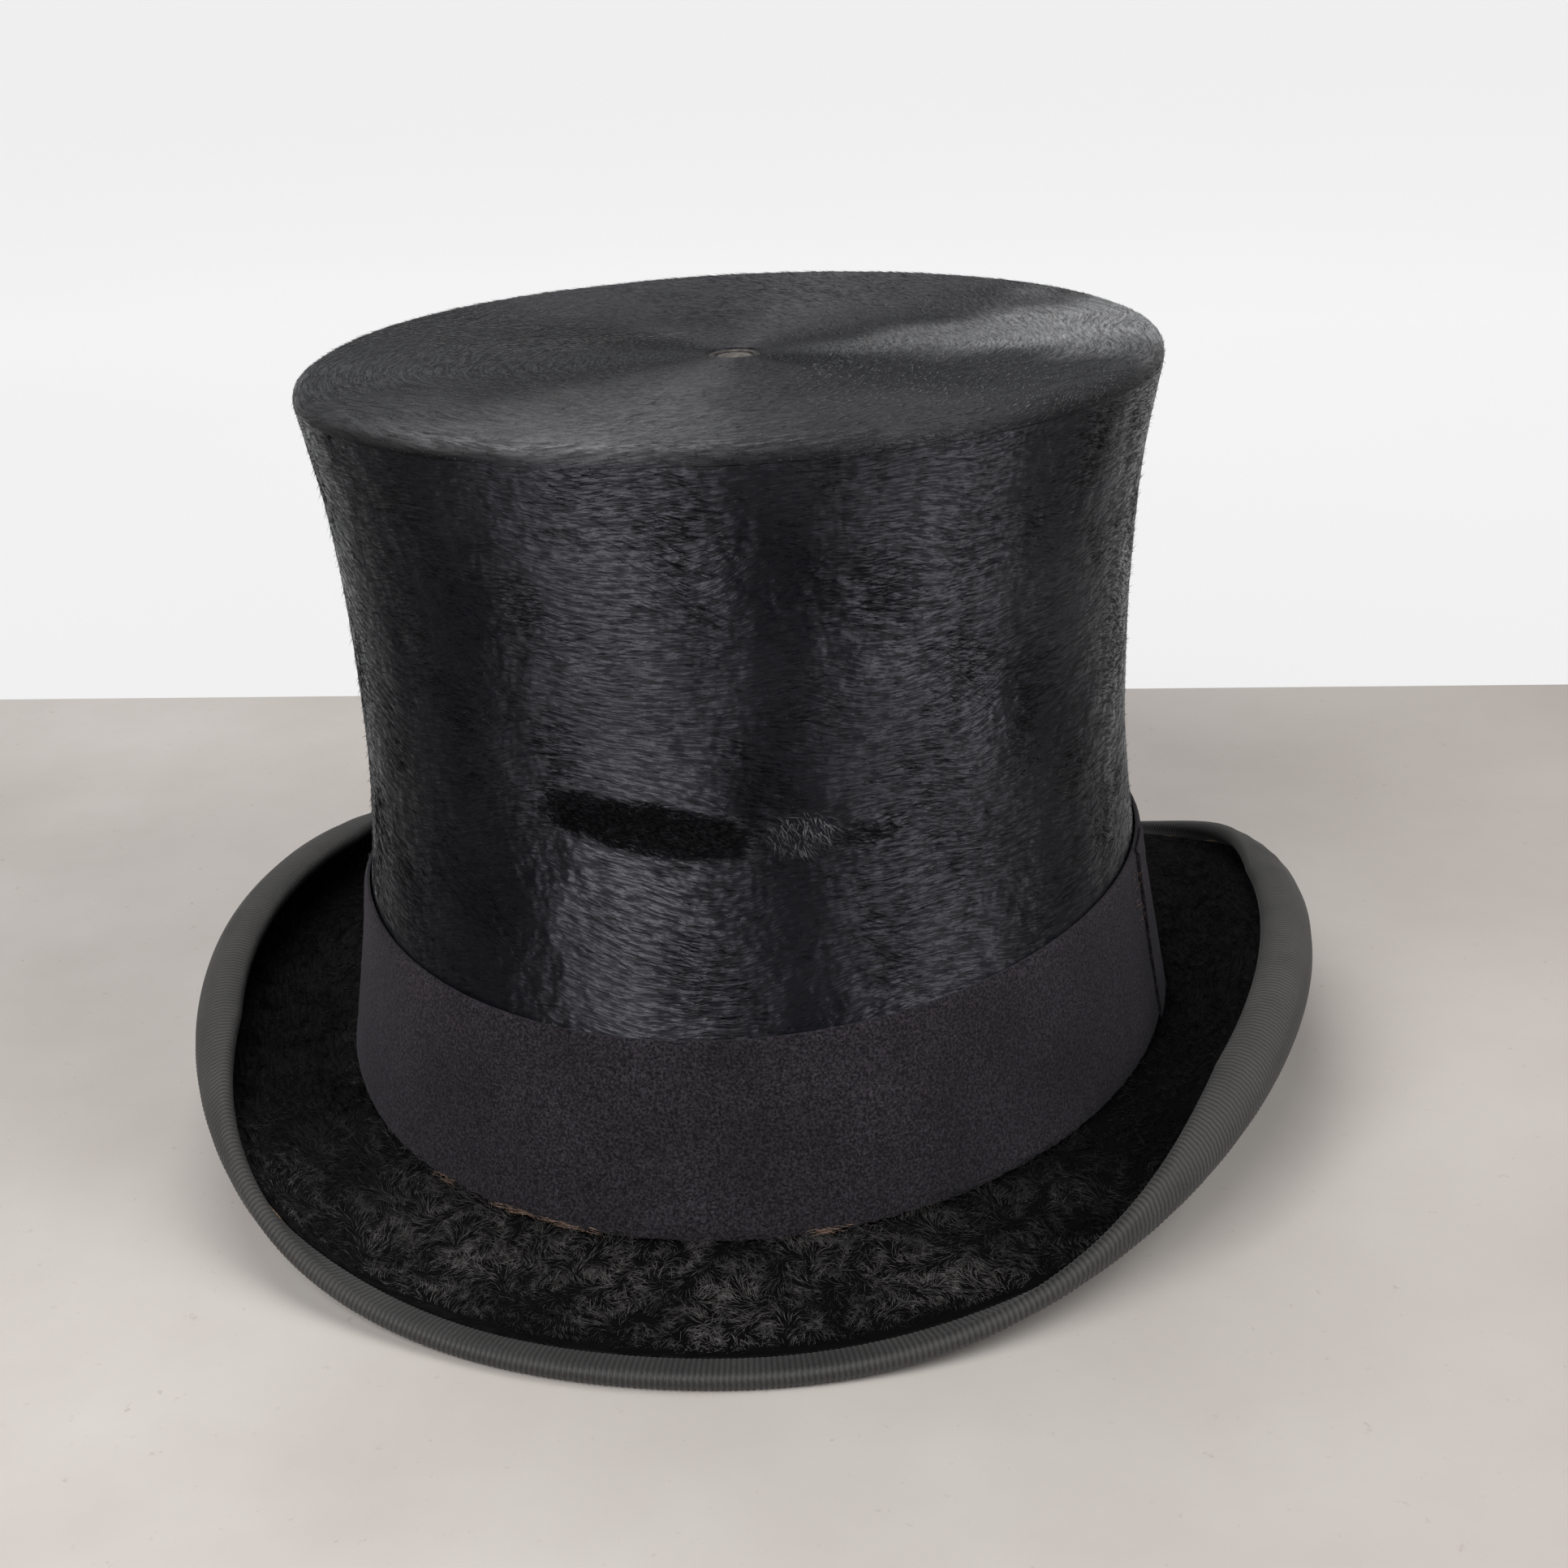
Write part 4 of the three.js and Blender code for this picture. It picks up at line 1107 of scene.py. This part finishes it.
def make_side_lining(material):
    """Silk side lining, eased into shallow upright pleats."""
    angles = turns_round(560)
    low = brim_break(angles) + LINING_START + CLEARANCE
    heights = mix(low, TIP_EDGE_FOOT - CLEARANCE, row(0, 1, 24))
    crease = PLEAT_DEPTH * np.abs(np.sin(PLEATS / 2 * angles + 0.3 * np.sin(heights * 90)))
    inner = crown_point(angles, heights, LINING_DEPTH + 0.25 * MM + crease)
    outer = crown_point(angles, heights, LINING_DEPTH)
    obj = ring("side_lining_silk", np.concatenate([outer, inner[:, ::-1]], axis=1))
    return finish_piece(obj, material, "silk_lining", "side_lining")


def make_tip_lining(material):
    angles = turns_round(240)
    hole = TIP_LINING_HOLE / (TIP_HALF_WIDTH - TIP_EDGE_RADIUS)
    shares = row(0.992, hole, 40)
    ripple = 0.12 * MM * lumps(tip_point(angles, shares, 0.0), 15 * MM, 101)
    low = tip_point(angles, shares, LINING_DEPTH + LINING * 0.75 + ripple)
    high = tip_point(angles, shares[:, ::-3], LINING_DEPTH)
    obj = ring("tip_lining_silk", np.concatenate([low, high], axis=1))
    return finish_piece(obj, material, "silk_lining", "tip_lining")


def make_sweatband(material, thread):
    """Leather sweatband with a tooled line below its upper edge and its sewing at the foot."""
    angles = turns_round(480)
    shares = row(0, 1, 44)
    heights = brim_break(angles) - BINDING_OFFSET + SWEATBAND_HEIGHT * shares
    from_top = SWEATBAND_HEIGHT * (1 - shares)
    groove = GROOVE_DEPTH * np.exp(-(((from_top - GROOVE_DROP) / GROOVE_HALF_WIDTH) ** 2))
    wave = 0.16 * MM * lumps(crown_point(angles, heights, 0.0), 18 * MM, 111)
    rounded = 0.35 * MM * (smooth_step(0.98, 1, shares) + smooth_step(0.02, 0, shares))
    face = SWEATBAND_DEPTH + SWEATBAND
    inner = crown_point(angles, heights, face - 0.2 * MM - groove + wave - rounded)
    outer = crown_point(angles, heights[:, ::-3], SWEATBAND_DEPTH)
    obj = ring("sweatband_leather", np.concatenate([inner, outer], axis=1)[:, ::-1])
    finish_piece(obj, material, "sweat_leather", "sweatband")
    angle = turns_round(STITCHES)[:, 0]
    height = brim_break(angle) - BINDING_OFFSET + STITCH_HEIGHT
    start = crown_point(angle - STITCH_HALF_ANGLE, height, face - 0.15 * MM)
    middle = crown_point(angle, height, face + 0.13 * MM)
    end = crown_point(angle + STITCH_HALF_ANGLE, height, face - 0.15 * MM)
    sewing = spikes("sweatband_stitches", start, end, np.full(STITCHES, STITCH_RADIUS), middle)
    finish_piece(sewing, thread, "sweat_leather")
    return obj


def make_reed(material):
    """Round reed under the sweatband's lower edge."""
    angles = turns_round(320)
    turn = np.linspace(0, FULL_TURN, 12, endpoint=False)[None, :]
    foot = brim_break(angles) - BINDING_OFFSET - CLEARANCE
    depth = SWEATBAND_DEPTH + REED_RADIUS * (1 - np.cos(turn))
    points = crown_point(angles, foot - REED_RADIUS * (1 - np.sin(turn)), depth)
    return finish_piece(ring("sweatband_reed_cane", points), material, "reed", "sweatband_reed")


def ribbon(node, start, end, half_widths, half_puffs, wave, material):
    """Ribbon from start to end, as shares of its CAD solid's box in x and z, with rounded edges.

    The half widths and puffs are at even steps along it, and the wave bends it in y.
    """
    low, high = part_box(node)
    steps = np.linspace(0, 1, 25)
    path = mix(np.array(start), np.array(end), steps[:, None])
    x = mix(low.x, high.x, path[:, 0])
    z = mix(low.z, high.z, path[:, 1])
    way = unit(np.array([x[-1] - x[0], z[-1] - z[0]]))
    places = np.linspace(0, 1, len(half_widths))
    half = np.interp(steps, places, half_widths)[:, None]
    puff = np.interp(steps, places, half_puffs)[:, None]
    turn = np.linspace(0, FULL_TURN, 28, endpoint=False)[None, :]
    across = half * np.cos(turn)
    thick = puff * np.sign(np.sin(turn)) * np.abs(np.sin(turn)) ** 0.6
    folds = 0.12 * puff * np.cos(5 * math.pi * np.cos(turn)) * np.sign(thick)
    middle = (low.y + high.y) / 2 + wave * np.sin(1.5 * math.pi * steps)[:, None]
    y = middle + thick + folds
    points = joined(x[:, None] - way[1] * across, y, z[:, None] + way[0] * across)
    obj = ring(node + "_ribbon", points, wrapped=False)
    return finish_piece(obj, material, "bow_ribbon", node)


def make_bow(material):
    """Small ribbon bow over the sweatband's seam: two puffed loops, two tails and a knot."""
    loop = (BOW_LOOP_HALF_WIDTHS, BOW_LOOP_PUFFS, 0.0, material)
    tail = (BOW_TAIL_HALF_WIDTHS, BOW_TAIL_PUFFS, 0.3 * MM, material)
    knot = (BOW_KNOT_HALF_WIDTHS, BOW_KNOT_PUFFS, 0.0, material)
    pieces = []
    for side, near in (("left", 0.0), ("right", 1.0)):
        pieces.append(ribbon("bow_loop_" + side, (near, 0.5), (1 - near, 0.5), *loop))
        start = (abs(near - 0.04), 1.3)
        end = (abs(near - 0.74), 0.12)
        pieces.append(ribbon("bow_tail_" + side, start, end, *tail))
    pieces.append(ribbon("bow_knot", (0, 0.5), (1, 0.5), *knot))
    return pieces


# ---- Ventilator ----------------------------------------------------------------------------

EYELET_FLANGE = 1.0 * MM
EYELET_WALL = 0.5 * MM
EYELET_LIP_DROP = 0.35 * MM
ROLL_HALF_WIDTH = 0.75 * MM
ROLL_HALF_HEIGHT = 0.25 * MM
GAUZE_PITCH = 0.42 * MM
GAUZE_THREAD = 0.12 * MM
GAUZE_WAVE = 0.08 * MM
GAUZE_FLATNESS = 0.7
GAUZE_REACH = 0.99  # share of the disc's CAD radius
BEVEL = 0.1 * MM


def lathe(name, outline, material, slot, node):
    """Ring turned round the hat's axis from an outline of (radius, height)."""
    turn = np.linspace(0, FULL_TURN, 72, endpoint=False)[:, None]
    radius, height = np.array(outline).T
    points = joined(radius * np.sin(turn), -radius * np.cos(turn), height)
    return finish_piece(ring(name, points), material, slot, node)


def make_ventilator(metal, washer, gauze):
    """Rolled eyelet, woven gauze disc and washer."""
    barrel = vent_high.x - EYELET_FLANGE
    bore = barrel - EYELET_WALL
    foot = vent_high.z - 2 * ROLL_HALF_HEIGHT
    outline = [(bore, vent_low.z), (barrel, vent_low.z), (barrel, foot)]
    for turn in np.linspace(-QUARTER, math.pi, 10):
        across = vent_high.x - ROLL_HALF_WIDTH * (1 - math.cos(turn))
        outline.append((across, vent_high.z - ROLL_HALF_HEIGHT * (1 - math.sin(turn))))
    outline.append((bore, vent_high.z - EYELET_LIP_DROP))
    lathe("vent_eyelet_ring", outline, metal, "vent_metal", "vent_eyelet")
    low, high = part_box("vent_washer")
    hole = barrel + CLEARANCE
    outline = [(hole, low.z), (high.x - BEVEL, low.z), (high.x, low.z + BEVEL)]
    outline += [(high.x, high.z - BEVEL), (high.x - BEVEL, high.z), (hole, high.z)]
    lathe("vent_washer_ring", outline, washer, "washer_metal", "vent_washer")
    make_gauze(gauze)


def make_gauze(material):
    """Disc of crossed threads that pass over and under each other."""
    low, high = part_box("vent_gauze")
    centre = (low.z + high.z) / 2
    count = int(high.x / GAUZE_PITCH)
    turn = QUARTER * np.arange(4)
    points = np.zeros((0, 3))
    faces = []
    for upright in (False, True):
        for k in range(-count, count + 1):
            reach = math.sqrt(max(0, (high.x * GAUZE_REACH) ** 2 - (k * GAUZE_PITCH) ** 2))
            steps = max(4, int(reach / GAUZE_PITCH) * 4)
            run = np.linspace(-reach, reach, steps)[:, None]
            wave = GAUZE_WAVE * np.cos(math.pi * (run / GAUZE_PITCH + k + upright))
            side = k * GAUZE_PITCH + GAUZE_THREAD * np.cos(turn)
            height = centre + wave + GAUZE_FLATNESS * GAUZE_THREAD * np.sin(turn)
            thread = joined(side, run, height) if upright else joined(run, side, height)
            index = len(points) + np.arange(steps * 4).reshape(steps, 4)
            after = np.roll(index, -1, axis=1)
            quads = np.stack([index[:-1], after[:-1], after[1:], index[1:]], axis=-1).reshape(-1, 4)
            made = np.concatenate([quads, index[:1, ::-1], index[-1:]])
            faces.append(made if upright else made[:, ::-1])
            points = np.concatenate([points, thread.reshape(-1, 3)])
    obj = mesh_object("vent_gauze_threads", points, [np.concatenate(faces)], sharp=0)
    return finish_piece(obj, material, "vent_gauze", "vent_gauze")


# ---- Stage ---------------------------------------------------------------------------------

CAMERA_AZIMUTH = math.radians(11.42)
CAMERA_ELEVATION = math.radians(21.32)
CAMERA_DISTANCE = 0.4815
CAMERA_LENS = 49.55
CAMERA_LEAN = math.radians(-2.44)
CAMERA_TARGET = Vector((0.0067, 0.0, 0.0624))
LIGHT_TARGET = Vector((0, 0, 0.08))
FLOOR_LEFT = -1.6
FLOOR_RIGHT = 1.6
FLOOR_FRONT = -1.4
FLOOR_BACK = 0.244
FLOOR_YAW = math.radians(5.6)
SWEEP_REACH = 80
SWEEP_HEIGHT = -0.004
LIGHTS = (  # name, azimuth and elevation in degrees, distance, width, height, power
    ("window_front", -20, 38, 1.3, 0.85, 0.9, 18.5),
    ("window_side", 76, 38, 1.3, 0.85, 0.9, 13),
    ("ceiling", -150, 62, 1.5, 0.9, 0.9, 11),
)


def put_in_scene(name, data, azimuth, elevation, target, distance, lean=0.0):
    """Camera or light that looks at a target from an azimuth, measured from the front to +X."""
    turn = Matrix.Rotation(azimuth, 4, "Z") @ Matrix.Rotation(QUARTER - elevation, 4, "X")
    away = Matrix.Rotation(lean, 4, "Z") @ Matrix.Translation((0, 0, distance))
    obj = bpy.data.objects.new(name, data)
    bpy.context.scene.collection.objects.link(obj)
    obj.matrix_world = Matrix.Translation(target) @ turn @ away
    return obj


def make_camera():
    data = bpy.data.cameras.new("camera")
    data.lens = CAMERA_LENS
    data.sensor_width = 36
    data.clip_start = 0.02
    view = (CAMERA_AZIMUTH, CAMERA_ELEVATION, CAMERA_TARGET, CAMERA_DISTANCE, CAMERA_LEAN)
    bpy.context.scene.camera = put_in_scene("camera", data, *view)


def area_light(name, azimuth, elevation, distance, width, height, power):
    """Soft light at an azimuth and elevation in degrees."""
    data = bpy.data.lights.new(name, "AREA")
    data.shape = "RECTANGLE"
    data.size = width
    data.size_y = height
    data.energy = power
    angles = (math.radians(azimuth), math.radians(elevation))
    put_in_scene(name, data, *angles, LIGHT_TARGET, distance)


def make_lights():
    for light in LIGHTS:
        area_light(*light)
    world = bpy.data.worlds.new("room")
    bpy.context.scene.world = world
    room = Recipe(world, "Background")
    way = room.split(room.node("TexCoord").outputs["Generated"])
    strengths = []
    for value, low, high, first, last in (
        (way["Y"], -0.2, 0.6, 0.05, 0.16),
        (way["Z"], 0.16, 0.30, 0.25, 0.0),
    ):
        inputs = {"Value": value, "From Min": low, "From Max": high, "To Min": first, "To Max": last}
        fade = room.node("MapRange", inputs, interpolation_type="SMOOTHSTEP")
        strengths.append(fade.outputs["Result"])
    room.set(Color=(0.95, 0.97, 1.0), Strength=room.math("MAXIMUM", *strengths))


def slab(name, x0, x1, y0, y1, top, material, yaw=0.0):
    """Flat sheet of the stage, turned about the hat's axis."""
    turn = Matrix.Rotation(yaw, 3, "Z")
    points = [turn @ Vector((x, y, top)) for x, y in ((x0, y0), (x1, y0), (x1, y1), (x0, y1))]
    obj = mesh_object(name, np.array(points), [np.array([[0, 1, 2, 3]])], sharp=0)
    obj.data.materials.append(material)


def stone_material():
    stone = new_material("floor_stone", Roughness=0.75)
    place = stone.place()
    cloud = stone.noise(place, 9, 5.0, 0.6)
    speck = stone.noise(place, 260, 4.0, 0.7)
    tone = stone.ramp(cloud, (0.3, (0.41, 0.375, 0.35)), (0.7, (0.49, 0.46, 0.432)))
    dots = stone.ramp(speck, (0.27, 0.55), (0.36, 0.0))
    # The slab is painted darker towards its right end: painted shade.
    right_painted_shade = stone.ramp(stone.split(place)["X"], (0.06, 0.0), (0.30, 0.75))
    shaded = stone.blend(right_painted_shade, tone, (0.29, 0.25, 0.23))
    stone.set(
        Base_Color=stone.blend(dots, shaded, (0.30, 0.24, 0.20)),
        Normal=stone.bump(cloud, 0.4 * MM, 0.3),
    )
    return stone.owner


def glowing_sweep_material():
    # The sweep glows as painted light, brighter towards the back, over a dark base colour.
    glowing_paper = new_material("white_sweep", Roughness=0.9, Emission_Strength=0.94)
    tint = glowing_paper.noise(glowing_paper.place(), 2.0, 2.0)
    backwards = glowing_paper.split(glowing_paper.place())["Y"]
    glowing_paper.set(
        Base_Color=glowing_paper.ramp(tint, (0.2, 0.05), (0.8, 0.07)),
        Emission_Color=glowing_paper.ramp(backwards, (0.2, 0.82), (1.0, 0.90)),
    )
    return glowing_paper.owner


def make_stage():
    """A pale stone slab in front of a white sweep that glows as painted light."""
    stone = stone_material()
    slab("floor", FLOOR_LEFT, FLOOR_RIGHT, FLOOR_FRONT, FLOOR_BACK, 0.0, stone, FLOOR_YAW)
    ends = (-SWEEP_REACH, SWEEP_REACH)
    slab("sweep", *ends, *ends, SWEEP_HEIGHT, glowing_sweep_material())


# ---- Assembly ------------------------------------------------------------------------------

make_camera()
make_lights()
make_stage()

side_silk = plush_material(
    "crown_plush", (0.0008, 0.0008, 0.0012), (0.003, 0.0032, 0.0045), rough=0.4, swirl=1.8 * MM
)
# The tip's plush and fibres are lighter copies of the crown's: painted light on the top, with
# lighter sector colours as painted sheen.
tip_silk_painted_light = plush_material(
    "tip_plush", (0.005, 0.005, 0.0054), (0.034, 0.0343, 0.036), rough=0.46, worn=(0.32, 0.32, 0.325)
)
brim_silk = plush_material(
    "brim_plush", (0.0008, 0.0007, 0.0007), (0.004, 0.0036, 0.0035), nap=0.0, rough=0.6, gloss=0.05
)
# The crown fibres' lighter colour paints the tuft's highlight.
crown_fibre = fibre_material(
    "crown_fibre", (0.0006, 0.0006, 0.0009), (0.003, 0.003, 0.0042), 0.3, 0.12, worn=(0.2, 0.2, 0.21)
)
tip_fibre_painted_light = fibre_material(
    "tip_fibre_painted_light", (0.005, 0.005, 0.006), (0.052, 0.052, 0.055), 0.3, 1.0, worn=(0.36, 0.36, 0.365)
)
# The brim fibres' lighter colour paints light on the front of the pile and lightens it along the
# band's foot.
brim_fibre = fibre_material(
    "brim_fibre", (0.0005, 0.0005, 0.0005), (0.008, 0.007, 0.007), 0.4, 0.2, worn=(0.15, 0.142, 0.14)
)
mark_fibre = fibre_material(
    "mark_fibre", (0.001, 0.001, 0.0014), (0.009, 0.009, 0.011), 0.45, 0.12
)
satin = satin_material()
sewing_thread = fibre_material("sewing_thread", (0.25, 0.17, 0.1), (0.5, 0.38, 0.25), 0.6)

side_cloth = make_side_plush(side_silk)
tip_cloth = make_tip_plush(tip_silk_painted_light)
crown_nap("crown_nap_front", 49000, -QUARTER, QUARTER, 32, crown_fibre)
crown_nap("crown_nap_back", 40000, QUARTER, 3 * QUARTER, 33, crown_fibre)
mark_nap(mark_fibre)
tip_nap(tip_fibre_painted_light)
brim_cloth = make_brim_plush(brim_silk)
brim_pile("brim_pile_front", 28000, -QUARTER, QUARTER, 63, brim_fibre)
brim_pile("brim_pile_back", 24000, QUARTER, 3 * QUARTER, 64, brim_fibre)
binding = make_binding(grosgrain_material())
underbrim = make_underbrim(woven_material("merino", (0.006, 0.006, 0.007), (0.02, 0.02, 0.022)))
band, band_end = make_band(wool_material())
band_fuzz(fibre_material("wool_fibre", (0.02, 0.018, 0.021), (0.16, 0.13, 0.13), 0.7))
frayed_threads(fibre_material("brown_thread", (0.10, 0.062, 0.045), (0.34, 0.22, 0.16), 0.75))
side_lining = make_side_lining(satin)
tip_lining = make_tip_lining(satin)
sweatband = make_sweatband(leather_material(), sewing_thread)
make_reed(grained_material("reed", (0.34, 0.21, 0.09), (0.62, 0.44, 0.22), 300, 0.5))
bow = make_bow(
    woven_material("bow_ribbon", (0.006, 0.006, 0.007), (0.02, 0.02, 0.022), 0.25 * MM, 0.45)
)
make_ventilator(
    grained_material("vent_metal", (0.03, 0.028, 0.026), (0.11, 0.10, 0.095), 700, 0.55, 0.8),
    grained_material("washer_metal", (0.2, 0.15, 0.07), (0.5, 0.42, 0.26), 500, 0.4, 1.0),
    fibre_material("vent_gauze", (0.05, 0.045, 0.04), (0.14, 0.125, 0.11), 0.7),
)

goss = grained_material("goss", (0.19, 0.11, 0.045), (0.4, 0.27, 0.13), 160, 0.5)
calico = grained_material("calico", (0.42, 0.36, 0.26), (0.62, 0.55, 0.42), 400, 0.85)
for node in ("crown_side_shell", "crown_tip_shell", "brim_shell", "brim_joint_collar"):
    shell_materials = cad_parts[node].data.materials
    shell_materials.clear()
    shell_materials.append(calico if node == "brim_joint_collar" else goss)


bpy.context.view_layer.update()
scene_view = bpy.context.scene.view_settings
scene_view.view_transform = "Standard"
